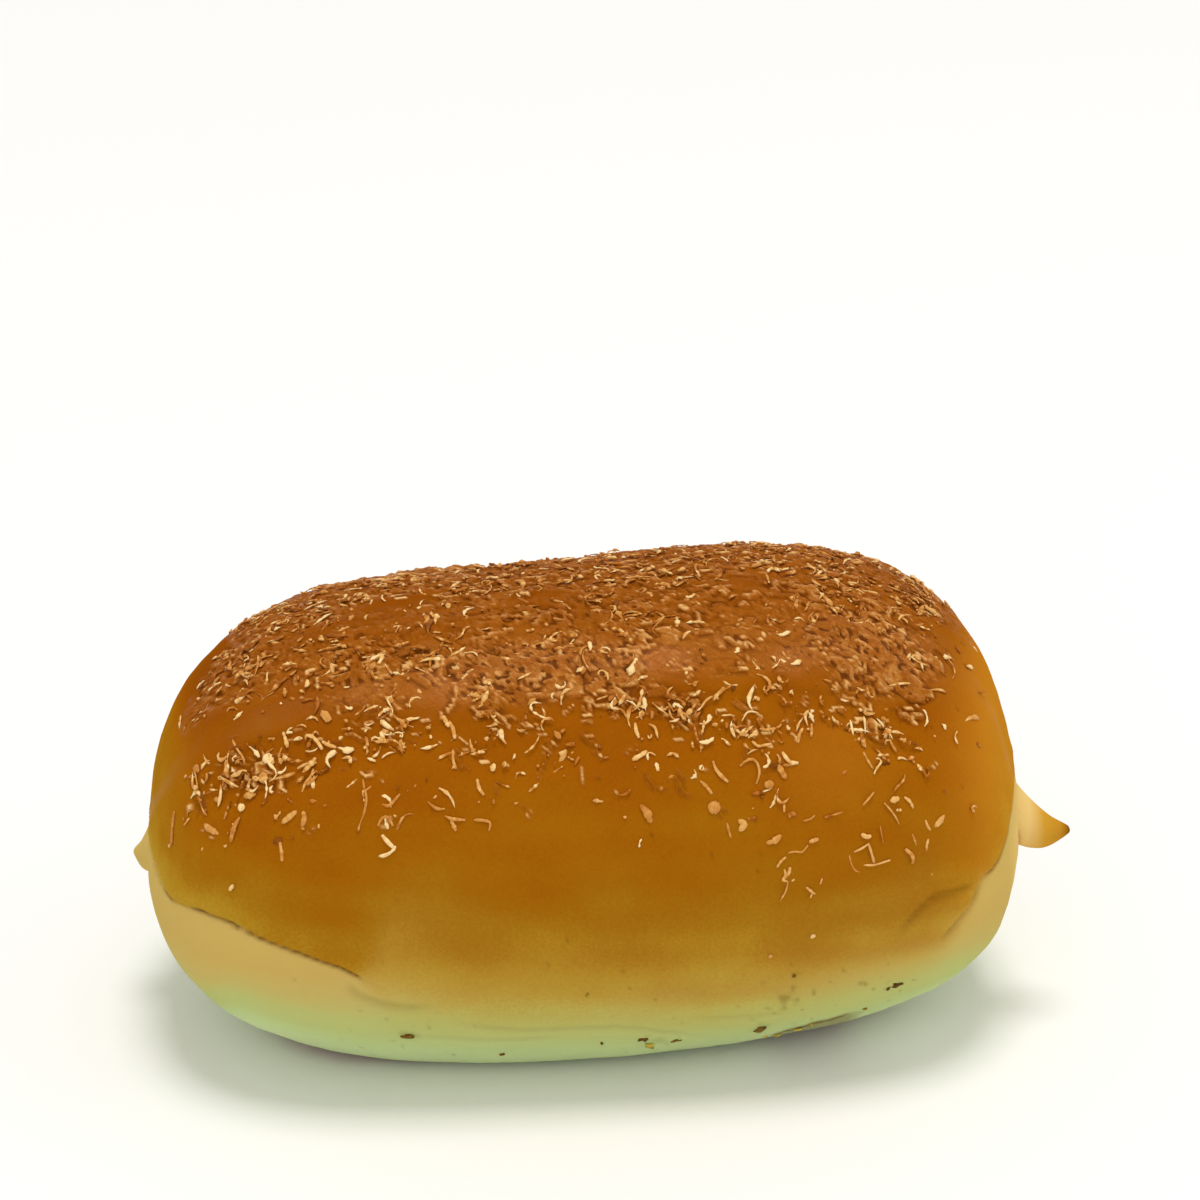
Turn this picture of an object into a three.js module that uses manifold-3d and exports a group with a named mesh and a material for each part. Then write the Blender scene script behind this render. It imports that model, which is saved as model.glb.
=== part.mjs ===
// Lotus seed bun: a plump oval baked bun that rests on its flat base, with a pinched
// point of dough at each end. Fine toasted shreds, chips and crumbs are baked onto its
// upper crust. Bun and topping are one solid.
//
// Millimetres. X runs along the bun, Y across it and Z up. The origin is the middle of
// the base, on the surface that the bun rests on.

import * as THREE from "three";
import { mergeVertices } from "three/addons/utils/BufferGeometryUtils.js";
import Module from "manifold-3d";

// Dough: an oval of revolution that is squared off along its length and across it.
const halfLength = 55;
const halfWidth = 32.7;
const height = 56.9;
const endPower = 3.64; // how blunt the ends are, along the length
const roundPower = 2.75; // how blunt the ends are, across it
const rounderLeft = 0.1; // share by which that bluntness falls to the left and grows to the right
const topPower = 2.08; // section above the waist: 2 is an ellipse, more is squarer
const bottomPower = 2.57; // section below the waist
const waistHeight = 25.2; // height of the widest line, halfway along
const waistFall = 3.2; // how far that line falls towards both ends
const riseToRight = 0.09; // share by which the right end stands taller

// Base: what would reach below the table is pressed flat, with a rounded edge.
const baseSink = 2.75;
const baseRounding = 1.4;

// Slow swellings of the hand-shaped dough: height, waves along the bun, waves round it, start.
const swellings = [
  { rise: 0.4, along: 2.1, round: 2, start: 0.4 },
  { rise: 0.3, along: 3.7, round: 3, start: 2.1 },
  { rise: 0.22, along: 5.3, round: 1, start: 4.0 },
];

// Pinched ends. The point leans back towards +Y by lean degrees and hangs by droop. It
// stands off the middle of the end by shiftY and shiftZ, and the skin slides with it as far
// out as shiftEdge, a share of the way from the middle of the end to the bun's side.
const rightTip = {
  side: 1,
  length: 7.3,
  radius: 3.65,
  lean: 4,
  droop: 3.2,
  flare: 0.2,
  shiftY: -12,
  shiftZ: 5,
  shiftEdge: 0.85,
};
const leftTip = {
  side: -1,
  length: 3.3,
  radius: 2.85,
  lean: 52,
  droop: 1.9,
  flare: 0.2,
  shiftY: 4,
  shiftZ: -1.35,
  shiftEdge: 0.5,
};
const tipPower = 1.25; // 1 is a cone, more is a blunter thorn
const droopShare = 0.7; // share of the point's length over which it bends down
const flareReach = 6.5; // how far from the tip the dough is drawn out with it

// Mesh of the dough.
const ringCount = 46;
const ringSides = 40;
const poleCrowding = 5; // how much closer the rings stand near the tips
const poleReach = 7;

// Topping, from the top of the bun down to the lower edge at each side.
const toppingSeed = 20417;
const toppingHalfAngle = 74; // degrees from the top
const toppingHalfLength = 51;
const fringeAngle = 22; // degrees over which the topping thins out
const barePatches = [
  { x: -24, angle: 98, reachX: 13, reachAngle: 7 },
  { x: -41, angle: 124, reachX: 6, reachAngle: 10 },
  { x: 18, angle: 130, reachX: 10, reachAngle: 11 },
  { x: 25, angle: 148, reachX: 9, reachAngle: 9 },
  { x: 4, angle: 52, reachX: 11, reachAngle: 10 },
  { x: -30, angle: 46, reachX: 9, reachAngle: 11 },
];
const pieceSpacing = 4.6;
const pieceTries = 9000;
const shredCount = 82;
const chipCount = 38;
const crumbCount = 30;
const shred = { lengthFrom: 3.6, lengthTo: 6.2, width: 0.85, bendTo: 2.4, lift: 0.35 };
const chip = { lengthFrom: 2.2, lengthTo: 3.4, narrowness: 0.62, thickness: 0.9 };
const crumb = { from: 1.5, to: 2.3 };
const settleDepth = 0.1; // how far a piece's middle lies below the crust

const radians = THREE.MathUtils.degToRad;
const clamp = THREE.MathUtils.clamp;
const signedPower = (value, power) => Math.sign(value) * Math.abs(value) ** power;

// A repeatable stream of numbers from 0 to 1.
function seededRandom(seed) {
  let state = seed;
  return () => {
    state = (state + 0x6d2b79f5) | 0;
    let t = Math.imul(state ^ (state >>> 15), 1 | state);
    t = (t + Math.imul(t ^ (t >>> 7), 61 | t)) ^ t;
    return ((t ^ (t >>> 14)) >>> 0) / 4294967296;
  };
}

// The end-to-end profile as a table of place along the bun and the cosine of its turn,
// spaced by its own length, with the rings crowded near the tips.
const profileSteps = 3000;
const profile = [];
for (let i = 0; i <= profileSteps; i++) {
  const turn = Math.PI * (i / profileSteps - 0.5);
  const x = halfLength * signedPower(Math.sin(turn), 2 / endPower);
  const cosine = Math.max(Math.cos(turn), 0);
  const radius = cosine ** (2 / roundPower) * halfWidth;
  const before = profile[i - 1];
  const step = before ? Math.hypot(x - before.x, radius - before.radius) : 0;
  const crowding = 1 + poleCrowding * Math.exp(-((radius / poleReach) ** 2));
  profile.push({ x, cosine, radius, travel: before ? before.travel + step * crowding : 0 });
}

// Place on the profile at a share, 0 to 1, of the way from the left tip to the right one.
function profileAt(share) {
  const travel = share * profile[profileSteps].travel;
  let low = 0;
  let high = profileSteps;
  while (high - low > 1) {
    const middle = (low + high) >> 1;
    if (profile[middle].travel <= travel) low = middle;
    else high = middle;
  }
  const a = profile[low];
  const b = profile[high];
  const t = (travel - a.travel) / (b.travel - a.travel);
  return { x: a.x + (b.x - a.x) * t, cosine: a.cosine + (b.cosine - a.cosine) * t };
}

const waistAt = (x) => waistHeight - waistFall * (x / halfLength) ** 4;
const riseAt = (x) => (height - waistAt(x)) * (1 + (riseToRight * x) / halfLength);

// Presses what lies below the table flat, and rounds the edge of the base.
function restOnTable(z) {
  if (z <= -baseRounding) return 0;
  if (z >= baseRounding) return z;
  return (z + baseRounding) ** 2 / (4 * baseRounding);
}

// How far out across an end a place lies: 0 in its middle, 1 at the bun's side.
function outwards(y, z, side) {
  const up = z - waistAt(halfLength);
  const reach = up >= 0 ? riseAt(side * halfLength) : waistAt(halfLength) + baseSink;
  const power = up >= 0 ? topPower : bottomPower;
  const sum = Math.abs(y / halfWidth) ** power + Math.abs(up / reach) ** power;
  return Math.min(1, sum ** (1 / power));
}

// How far an end of the plain dough stands back from its middle at such a place.
function endDepth(y, z, side) {
  const squared = outwards(y, z, side) ** (roundPower * (1 + rounderLeft * side));
  return halfLength * (1 - (1 - squared) ** (1 / endPower));
}

// Draws the end of the bun out into its pinched point. The skin first slides over the end,
// so that the point stands off the middle, and is then drawn out there.
function pinch(point, tip) {
  if (point.x * tip.side <= 0) return;
  const away = Math.hypot(point.y, point.z - waistAt(halfLength));
  const spike = Math.max(0, 1 - (away / tip.radius) ** tipPower);
  const drawn = tip.length * spike + tip.flare * Math.exp(-((away / flareReach) ** 2));
  const lean = radians(tip.lean);
  const beyond = outwards(point.y, point.z, tip.side) / tip.shiftEdge;
  const slid = Math.max(0, 1 - beyond ** 2) ** 2;
  const y = point.y + tip.shiftY * slid;
  const z = point.z + tip.shiftZ * slid;
  const back = endDepth(y, z, tip.side) - endDepth(point.y, point.z, tip.side);
  point.x += tip.side * (drawn * Math.cos(lean) - back);
  point.y = y + drawn * Math.sin(lean);
  point.z = z - tip.droop * Math.sin((Math.PI / 2) * Math.min(1, spike / droopShare));
}

// Point of the crust. angle is in radians round the bun: 0 at +Y, a quarter turn at the top.
function crustPoint(share, angle) {
  const { x, cosine } = profileAt(share);
  const sideways = Math.cos(angle);
  const upward = Math.sin(angle);
  const power = 2 / (upward >= 0 ? topPower : bottomPower);
  const waist = waistAt(x);
  const lengthwise = x / halfLength;
  const girth = cosine ** (2 / (roundPower * (1 + rounderLeft * lengthwise)));
  const rise = riseAt(x);
  const drop = waist + baseSink;
  let swell = 0;
  for (const s of swellings)
    swell += s.rise * Math.sin(s.along * lengthwise + s.round * angle + s.start);
  const across = signedPower(sideways, power);
  const up = signedPower(upward, power);
  const point = new THREE.Vector3(
    x,
    girth * across * (halfWidth + swell),
    waist + girth * up * ((up >= 0 ? rise : drop) + swell),
  );
  point.z = restOnTable(point.z);
  pinch(point, rightTip);
  pinch(point, leftTip);
  return point;
}

// The bun's ends are its tips, so its middle is halfway between them.
const tipEnd = (tip) => crustPoint(tip.side > 0 ? 1 : 0, 0).x;
const middleX = (tipEnd(rightTip) + tipEnd(leftTip)) / 2;

// The dough as one closed grid: rings round the bun, closed by a fan at each tip.
function doughGeometry() {
  const positions = [];
  const put = (point) => {
    positions.push(point.x, point.y, point.z);
    return positions.length / 3 - 1;
  };
  const leftPole = put(crustPoint(0, 0));
  const rings = [];
  for (let i = 1; i < ringCount; i++) {
    const ring = [];
    for (let j = 0; j < ringSides; j++)
      ring.push(put(crustPoint(i / ringCount, (j / ringSides) * 2 * Math.PI)));
    rings.push(ring);
  }
  const rightPole = put(crustPoint(1, 0));
  const faces = [];
  for (let j = 0; j < ringSides; j++) {
    const k = (j + 1) % ringSides;
    faces.push(leftPole, rings[0][k], rings[0][j]);
    for (let i = 0; i + 1 < rings.length; i++) {
      faces.push(rings[i][j], rings[i][k], rings[i + 1][k]);
      faces.push(rings[i][j], rings[i + 1][k], rings[i + 1][j]);
    }
    const last = rings[rings.length - 1];
    faces.push(rightPole, last[j], last[k]);
  }
  const geometry = new THREE.BufferGeometry();
  geometry.setAttribute("position", new THREE.Float32BufferAttribute(positions, 3));
  geometry.setIndex(faces);
  return geometry;
}

// Place on the crust with its outward normal and a direction along it.
function crustFrame(share, angle) {
  const small = 1e-3;
  const origin = crustPoint(share, angle);
  const along = crustPoint(share + small, angle).sub(crustPoint(share - small, angle));
  const round = crustPoint(share, angle + small).sub(crustPoint(share, angle - small));
  along.normalize();
  const normal = new THREE.Vector3().crossVectors(along, round).normalize();
  return { origin, along, normal };
}

// How much topping lies at a place, 0 to 1. angle is in degrees.
function toppingAt(x, angle) {
  const fromTop = Math.abs(angle - 90);
  const atSide = clamp((toppingHalfAngle - fromTop) / fringeAngle, 0, 1);
  const atEnd = clamp((toppingHalfLength - Math.abs(x)) / 6, 0, 1);
  let cover = atSide * atEnd;
  for (const p of barePatches)
    cover *= 1 - Math.exp(-(((x - p.x) / p.reachX) ** 2) - ((angle - p.angle) / p.reachAngle) ** 2);
  return cover;
}

// Picks the pieces' places: spread evenly, no two closer than pieceSpacing, seeded.
function scatter(count, random) {
  const places = [];
  for (let i = 0; i < pieceTries && places.length < count; i++) {
    const share = 0.06 + 0.88 * random();
    const degrees = 90 + toppingHalfAngle * (2 * random() - 1);
    const keep = random();
    const frame = crustFrame(share, radians(degrees));
    if (keep > toppingAt(frame.origin.x, degrees)) continue;
    if (places.some((p) => p.origin.distanceTo(frame.origin) < pieceSpacing)) continue;
    places.push(frame);
  }
  return places;
}

// Turns and moves a piece, modelled lying flat on Z = 0, so that it lies on the crust.
function layOnCrust(geometry, frame, spin) {
  const forward = frame.along.clone().applyAxisAngle(frame.normal, spin);
  const sideways = new THREE.Vector3().crossVectors(frame.normal, forward);
  const placing = new THREE.Matrix4().makeBasis(forward, sideways, frame.normal);
  placing.setPosition(frame.origin.clone().addScaledVector(frame.normal, -settleDepth));
  return geometry.applyMatrix4(placing);
}

// A curled shred: a thin bar along an arc, four-sided, with one end a little raised.
function shredGeometry(random) {
  const length = shred.lengthFrom + (shred.lengthTo - shred.lengthFrom) * random();
  const bend = shred.bendTo * (2 * random() - 1);
  const steps = 3;
  const half = shred.width / 2;
  const points = [];
  for (let i = 0; i <= steps; i++) {
    const t = i / steps - 0.5;
    const heading = bend * t;
    points.push(
      new THREE.Vector3(
        (length * Math.sin(heading + 1e-6)) / (bend + 1e-6),
        (length * (1 - Math.cos(heading))) / (bend + 1e-6),
        shred.lift * Math.max(0, t) * 2,
      ),
    );
  }
  const bar = new THREE.Shape([
    new THREE.Vector2(-half, 0),
    new THREE.Vector2(0, -half),
    new THREE.Vector2(half, 0),
    new THREE.Vector2(0, half),
  ]);
  return new THREE.ExtrudeGeometry(bar, {
    steps,
    extrudePath: new THREE.CatmullRomCurve3(points),
  });
}

// A flat chip and a round crumb: the same rough ball, pressed to its own proportions.
function lumpGeometry(length, width, thickness) {
  const geometry = new THREE.IcosahedronGeometry(0.5, 0);
  return geometry.scale(length, width, thickness);
}

function chipGeometry(random) {
  const length = chip.lengthFrom + (chip.lengthTo - chip.lengthFrom) * random();
  return lumpGeometry(length, length * chip.narrowness, chip.thickness);
}

function crumbGeometry(random) {
  const size = crumb.from + (crumb.to - crumb.from) * random();
  return lumpGeometry(size, size * 0.85, size * 0.8);
}

const wasm = await Module();
wasm.setup();

// A closed geometry as a solid for joining.
function solidOf(geometry) {
  const bare = geometry.clone();
  bare.deleteAttribute("normal");
  bare.deleteAttribute("uv");
  const merged = mergeVertices(bare, 1e-4);
  return new wasm.Manifold(
    new wasm.Mesh({
      numProp: 3,
      vertProperties: merged.attributes.position.array,
      triVerts: new Uint32Array(merged.index.array),
    }),
  );
}

// A solid back as a geometry with flat shading.
function geometryOf(solid) {
  const mesh = solid.getMesh();
  const geometry = new THREE.BufferGeometry();
  const positions = [];
  for (let i = 0; i < mesh.vertProperties.length; i += mesh.numProp)
    positions.push(...mesh.vertProperties.slice(i, i + 3));
  geometry.setAttribute("position", new THREE.Float32BufferAttribute(positions, 3));
  geometry.setIndex([...mesh.triVerts]);
  return geometry;
}

// Joins the topping to the dough and keeps the bun itself: loose scraps and the shells
// of hollows that pieces have closed over each other are left behind.
function bunGeometry() {
  const random = seededRandom(toppingSeed);
  const places = scatter(shredCount + chipCount + crumbCount, random);
  const makers = [
    ...Array(shredCount).fill(shredGeometry),
    ...Array(chipCount).fill(chipGeometry),
    ...Array(crumbCount).fill(crumbGeometry),
  ];
  let bun = solidOf(doughGeometry());
  places.forEach((frame, i) => {
    const piece = layOnCrust(makers[i](random), frame, random() * Math.PI * 2);
    bun = bun.add(solidOf(piece));
  });
  const bodies = bun.decompose().sort((a, b) => b.volume() - a.volume());
  return geometryOf(bodies[0]);
}

const bun = new THREE.Mesh(
  bunGeometry(),
  new THREE.MeshStandardMaterial({ color: "#ab6a14", roughness: 0.5, metalness: 0 }),
);
bun.name = "bun";
bun.position.x = -middleX;

const lotusSeedBun = new THREE.Group();
lotusSeedBun.add(bun);

export default lotusSeedBun;
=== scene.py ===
# Lotus seed bun: a plump oval bun with an egg-washed golden crust, a pale base, a pinched
# point at each end, and toasted shreds, chips and crumbs baked onto its top.
# Every piece is laid on one formula for the crust, the same as the solid's.

import math
import bpy
import numpy as np
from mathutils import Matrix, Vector


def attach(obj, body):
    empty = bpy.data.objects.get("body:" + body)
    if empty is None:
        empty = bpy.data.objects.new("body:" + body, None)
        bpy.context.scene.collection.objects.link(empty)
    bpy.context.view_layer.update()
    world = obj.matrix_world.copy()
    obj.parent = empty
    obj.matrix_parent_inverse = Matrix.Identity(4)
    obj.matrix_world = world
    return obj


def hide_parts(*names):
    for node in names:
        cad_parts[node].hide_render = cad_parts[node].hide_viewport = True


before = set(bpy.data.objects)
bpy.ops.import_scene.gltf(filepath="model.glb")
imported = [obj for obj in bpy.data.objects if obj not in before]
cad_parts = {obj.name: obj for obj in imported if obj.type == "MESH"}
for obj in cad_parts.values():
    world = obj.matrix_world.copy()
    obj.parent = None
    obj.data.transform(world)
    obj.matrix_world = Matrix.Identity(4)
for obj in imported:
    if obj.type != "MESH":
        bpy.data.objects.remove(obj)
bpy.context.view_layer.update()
mm = 0.001  # one millimetre in metres; all sizes below are in millimetres


# Small helpers

def signedPower(value, power):  # sign(v) |v|^power
    return np.sign(value) * np.abs(value) ** power


def softStep(value, low, high):  # 3s^2 - 2s^3, with s from 0 at low to 1 at high
    s = np.clip((value - low) / (high - low), 0, 1)
    return s * s * (3 - 2 * s)


def bell(distance, reach):  # exp(-(d / reach)^2)
    return np.exp(-((distance / reach) ** 2))


def ripple(points, wavelength, seed, waves=16):
    # Uneven waviness, mostly between -1 and 1: the sum of cos(k.p + start) over plane waves
    # in random directions, with lengths from 0.7 to 1.4 of the wavelength.
    draw = np.random.default_rng(seed)
    direction = draw.normal(size=(waves, 3))
    direction /= np.linalg.norm(direction, axis=1)[:, None]
    k = direction * (2 * np.pi / (wavelength * draw.uniform(0.7, 1.4, waves)))[:, None]
    start = draw.uniform(0, 2 * np.pi, waves)
    return np.cos(points @ k.T + start).sum(-1) / math.sqrt(waves)


def unit(vectors):  # v / |v|
    return vectors / np.maximum(np.linalg.norm(vectors, axis=-1, keepdims=True), 1e-12)


def addObject(name, data):
    piece = bpy.data.objects.new(name, data)
    bpy.context.collection.objects.link(piece)
    return piece


def makePiece(name, points, faceGroups, fields, material):
    # A mesh object from arrays: points in millimetres, and faces in groups of equal corners.
    mesh = bpy.data.meshes.new(name)
    corners = np.concatenate([group.ravel() for group in faceGroups])
    counts = np.concatenate([np.full(len(group), group.shape[1]) for group in faceGroups])
    starts = np.concatenate([[0], np.cumsum(counts)[:-1]])
    mesh.vertices.add(len(points))
    mesh.vertices.foreach_set("co", (points * mm).astype(np.float32).ravel())
    mesh.loops.add(len(corners))
    mesh.loops.foreach_set("vertex_index", corners.astype(np.int32))
    mesh.polygons.add(len(counts))
    mesh.polygons.foreach_set("loop_start", starts.astype(np.int32))
    mesh.update(calc_edges=True)
    mesh.polygons.foreach_set("use_smooth", np.ones(len(counts), bool))
    for field, values in fields.items():
        layer = mesh.attributes.new(field, "FLOAT", "POINT")
        layer.data.foreach_set("value", values.astype(np.float32).ravel())
    mesh.materials.append(material)
    piece = addObject(name, mesh)
    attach(piece, "root")
    triangles = int((counts - 2).sum())
    print(f"{name}: {len(points)} points, {triangles} triangles")
    return piece


# The crust's form

dough = {
    "halfLength": 55.0,
    "halfWidth": 32.7,
    "height": 56.9,
    "endPower": 3.64,       # bluntness of the ends, along the length
    "roundPower": 2.75,     # bluntness of the ends, across it
    "rounderLeft": 0.1,     # share of that bluntness lost to the left, gained to the right
    "topPower": 2.08,       # section above the waist
    "bottomPower": 2.57,    # section below it
    "waistHeight": 25.2,
    "waistFall": 3.2,
    "riseToRight": 0.09,
    "baseSink": 2.75,
    "baseRounding": 1.4,
    # rise, waves along, waves round, start
    "swellings": [(0.4, 2.1, 2, 0.4), (0.3, 3.7, 3, 2.1), (0.22, 5.3, 1, 4.0)],
    # side, length, radius, lean in degrees, droop, flare, how far the point stands off the
    # middle of the end along Y and Z, and how far out the skin slides with it (1 is the side)
    "tips": [
        (1, 7.3, 3.65, 4, 3.2, 0.2, -12.0, 5.0, 0.85),
        (-1, 3.3, 2.85, 52, 1.9, 0.2, 4.0, -1.35, 0.5),
    ],
    "tipPower": 1.25,
    "droopShare": 0.7,
    "flareReach": 6.5,
}
profileTurn = np.linspace(-np.pi / 2, np.pi / 2, 4001)
profileX = dough["halfLength"] * signedPower(np.sin(profileTurn), 2 / dough["endPower"])
profileCosine = np.maximum(np.cos(profileTurn), 0)
profileRadius = profileCosine ** (2 / dough["roundPower"]) * dough["halfWidth"]
profileStep = np.hypot(np.diff(profileX), np.diff(profileRadius))
profileCrowding = 1 + 3.0 * bell(profileRadius[1:], 7.0)  # grid lines stand closer near the tips
profileShare = np.concatenate([[0], np.cumsum(profileStep * profileCrowding)])
profileShare /= profileShare[-1]


def placeAlong(share):  # x of the profile at a share of the way from the left tip to the right
    return np.interp(share, profileShare, profileX)


def shareAt(x):  # placeAlong read backwards
    return np.interp(x, profileX, profileShare)


def waistAt(x):  # waist - fall (x / halfLength)^4
    return dough["waistHeight"] - dough["waistFall"] * (x / dough["halfLength"]) ** 4


def tipSpike(y, z, radius):  # 1 - (distance from the pole / radius)^tipPower, not below 0
    away = np.hypot(y, z - waistAt(dough["halfLength"]))
    return away, np.maximum(0, 1 - (away / radius) ** dough["tipPower"])


def outwards(y, z, side):
    # How far out across an end a place lies, 0 in its middle and 1 at the bun's side:
    # r = (|y/w|^p + |(z - waist)/h|^p)^(1/p).
    waist = waistAt(dough["halfLength"])
    above = z >= waist
    rise = (dough["height"] - waist) * (1 + dough["riseToRight"] * side)
    reach = np.where(above, rise, waist + dough["baseSink"])
    power = np.where(above, dough["topPower"], dough["bottomPower"])
    whole = np.abs(y / dough["halfWidth"]) ** power + np.abs((z - waist) / reach) ** power
    return np.minimum(1, whole ** (1 / power))


def endDepth(y, z, side):
    # How far the end stands back from its middle there: L (1 - (1 - r^roundPower)^(1/endPower)).
    squared = outwards(y, z, side) ** (dough["roundPower"] * (1 + dough["rounderLeft"] * side))
    return dough["halfLength"] * (1 - (1 - squared) ** (1 / dough["endPower"]))


def crustPoint(share, angle):
    # x = halfLength sin^(2/endPower), girth = cos^(2/roundPower), and round each section
    # y = girth w cos^(2/p), z = waist + girth h sin^(2/p). Then the base is pressed flat
    # and at each end the skin slides over the end by shift (1 - (r/edge)^2)^2 and is drawn
    # out into the point, length spike + flare exp(-(away/reach)^2).
    # angle is in radians: 0 at +Y, a quarter turn at the top, a half turn at the front.
    x = placeAlong(share)
    cosine = np.interp(share, profileShare, profileCosine)
    lengthwise = x / dough["halfLength"]
    girth = cosine ** (2 / (dough["roundPower"] * (1 + dough["rounderLeft"] * lengthwise)))
    c, s = np.cos(angle), np.sin(angle)
    power = 2 / np.where(s >= 0, dough["topPower"], dough["bottomPower"])
    waist = waistAt(x)
    rise = (dough["height"] - waist) * (1 + dough["riseToRight"] * lengthwise)
    drop = waist + dough["baseSink"]
    swell = sum(
        high * np.sin(along * lengthwise + around * angle + start)
        for high, along, around, start in dough["swellings"]
    )
    up = signedPower(s, power)
    y = girth * signedPower(c, power) * (dough["halfWidth"] + swell)
    z = waist + girth * up * (np.where(up >= 0, rise, drop) + swell)
    r = dough["baseRounding"]
    z = np.where(z <= -r, 0, np.where(z >= r, z, (z + r) ** 2 / (4 * r)))
    x = x + 0 * y
    for side, length, radius, lean, droop, flare, shiftY, shiftZ, edge in dough["tips"]:
        away, spike = tipSpike(y, z, radius)
        here = x * side > 0
        drawn = np.where(here, length * spike + flare * bell(away, dough["flareReach"]), 0)
        bend = np.where(here, np.minimum(1, spike / dough["droopShare"]), 0)
        slid = np.where(here, np.maximum(0, 1 - (outwards(y, z, side) / edge) ** 2) ** 2, 0)
        back = endDepth(y + shiftY * slid, z + shiftZ * slid, side) - endDepth(y, z, side)
        x = x + side * (drawn * math.cos(math.radians(lean)) - np.where(here, back, 0))
        y = y + shiftY * slid + drawn * math.sin(math.radians(lean))
        z = z + shiftZ * slid - droop * np.sin(np.pi / 2 * bend)
    return np.stack([x, y, z], -1)


poles = crustPoint(np.array([0.0, 1.0]), np.zeros(2))
middleX = poles[:, 0].mean()  # the origin is halfway between the ends of the points


def crustFrame(share, angle):
    # The crust's point, outward normal, and length in mm of one share and one radian.
    small = 1e-4
    point = crustPoint(share, angle)
    along = (crustPoint(share + small, angle) - crustPoint(share - small, angle)) / (2 * small)
    around = (crustPoint(share, angle + small) - crustPoint(share, angle - small)) / (2 * small)
    return point, unit(np.cross(around, along)), along, around


def fromTop(angle):  # degrees from the top: 90 at the front waist, -90 at the back one
    return (np.degrees(angle) - 90 + 180) % 360 - 180


# Skin, folds and browning. Places are (x along the bun in mm, degrees from the top).

skin = {
    # where the browned skin ends and pale dough begins, round the front and round the back
    "front": [
        (-54.95, -1), (-54.85, 39), (-54.6, 58), (-54.2, 70), (-53.5, 83), (-52.6, 88),
        (-48.8, 87.5), (-45.2, 89), (-41.5, 91.5), (-37.0, 94), (-32.4, 97), (-28.5, 101),
        (-24.5, 105.5), (-20.0, 108.5), (-6.0, 112), (12.0, 112), (28.0, 107), (36.0, 104.5),
        (41.4, 101.5), (42.3, 98.8), (44.1, 94.9), (45.3, 92.6), (46.6, 90.2), (47.5, 88),
        (49.9, 87.6), (52.0, 86.4), (53.2, 84.8), (53.9, 82.5), (54.6, 76), (54.85, 66),
        (54.92, 52), (54.94, 30), (54.95, -1),
    ],
    "back": [
        (-54.95, -1), (-54.85, 39), (-54.4, 64), (-53.5, 82), (-50.0, 90), (-40.0, 96),
        (-24.0, 104), (0.0, 108), (22.0, 104), (36.0, 96), (44.0, 92), (49.0, 86), (51.4, 76),
        (52.6, 72), (53.6, 68), (54.3, 60), (54.7, 44), (54.9, 10), (54.95, -1),
    ],
    # 1 is a clean edge, 0 a soft one
    "sharpFront": [(-53.6, 0.85), (-53.0, 1), (-30.5, 1), (-26, 0), (38, 0), (44, 0.8), (50, 0.95)],
    "sharpBack": [
        (-54.8, 0.85), (-54, 0.5), (-50, 0.4), (-40, 0), (30, 0), (40, 0.4), (54, 0.5), (54.8, 0.95),
    ],
    "sharpReach": 0.16,
    "softReach": 5.6,
    "lip": 0.26,          # height of the skin's edge over the dough
    "lipReach": 1.6,
    "crease": 0.34,       # depth of the line under the edge
    "creaseReach": 0.24,
    "bulge": 0.45,        # swelling of the pale dough below the edge
    "bulgePlace": 6.0,
    "bulgeReach": 5.0,
}

# Soft folds and wrinkles: depth, reach, height and reach of the roll beside it, and places.
folds = [
    (0.36, 0.55, 0.4, 1.7, [
        (46.8, 88.4), (44.8, 89.0), (42.6, 89.3), (40.2, 89.4), (37.9, 91), (36.7, 93.1), (34.4, 97.5),
    ]),
    (0.26, 0.45, 0.24, 1.5, [(47.0, 89), (45.3, 92.8), (44.1, 95.2), (42.3, 99), (40.6, 102.5)]),
    (0.26, 0.6, 0.16, 1.6, [
        (-31.6, 99.5), (-31.2, 103), (-29.4, 105.5), (-27.0, 108), (-24.0, 109), (-20.3, 108),
    ]),
    (0.2, 0.4, 0.14, 1.3, [
        (-20.0, 114), (-12.0, 117), (-4.0, 117), (0.3, 116), (5.1, 118), (10.3, 123), (15.0, 129),
    ]),
    (0.14, 0.5, 0.1, 1.4, [(-24.0, 121), (-13.0, 122), (-4.0, 120)]),
    (0.12, 0.5, 0.1, 1.4, [(10.0, 114), (16.4, 116), (24.0, 117)]),
    (0.3, 0.5, 0.2, 1.6, [(-44.0, -99), (-36.0, -103), (-26.0, -105), (-18.0, -111)]),
    (0.36, 0.5, 0.26, 1.7, [(14.0, -108), (24.0, -103), (33.0, -97), (38.0, -92)]),
]


mmPerDegree = 0.57  # about the length of one degree round the bun


def crustLine(places):
    # Points of the crust at places given as (x, degrees from the top).
    x, top = np.array(places, float).T
    return crustPoint(shareAt(x), np.radians(top + 90))


def roundedLine(places, count=14, passes=2):
    # The same line at equal steps, with its corners rounded off by averaging neighbours.
    places = np.array(places, float)
    steps = np.hypot(np.diff(places[:, 0]), mmPerDegree * np.diff(places[:, 1]))
    travel = np.concatenate([[0], np.cumsum(steps)])
    even = np.linspace(0, travel[-1], count)
    line = np.column_stack([np.interp(even, travel, column) for column in places.T])
    for _ in range(passes):
        line[1:-1] = (line[:-2] + 2 * line[1:-1] + line[2:]) / 4
    return line


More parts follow.
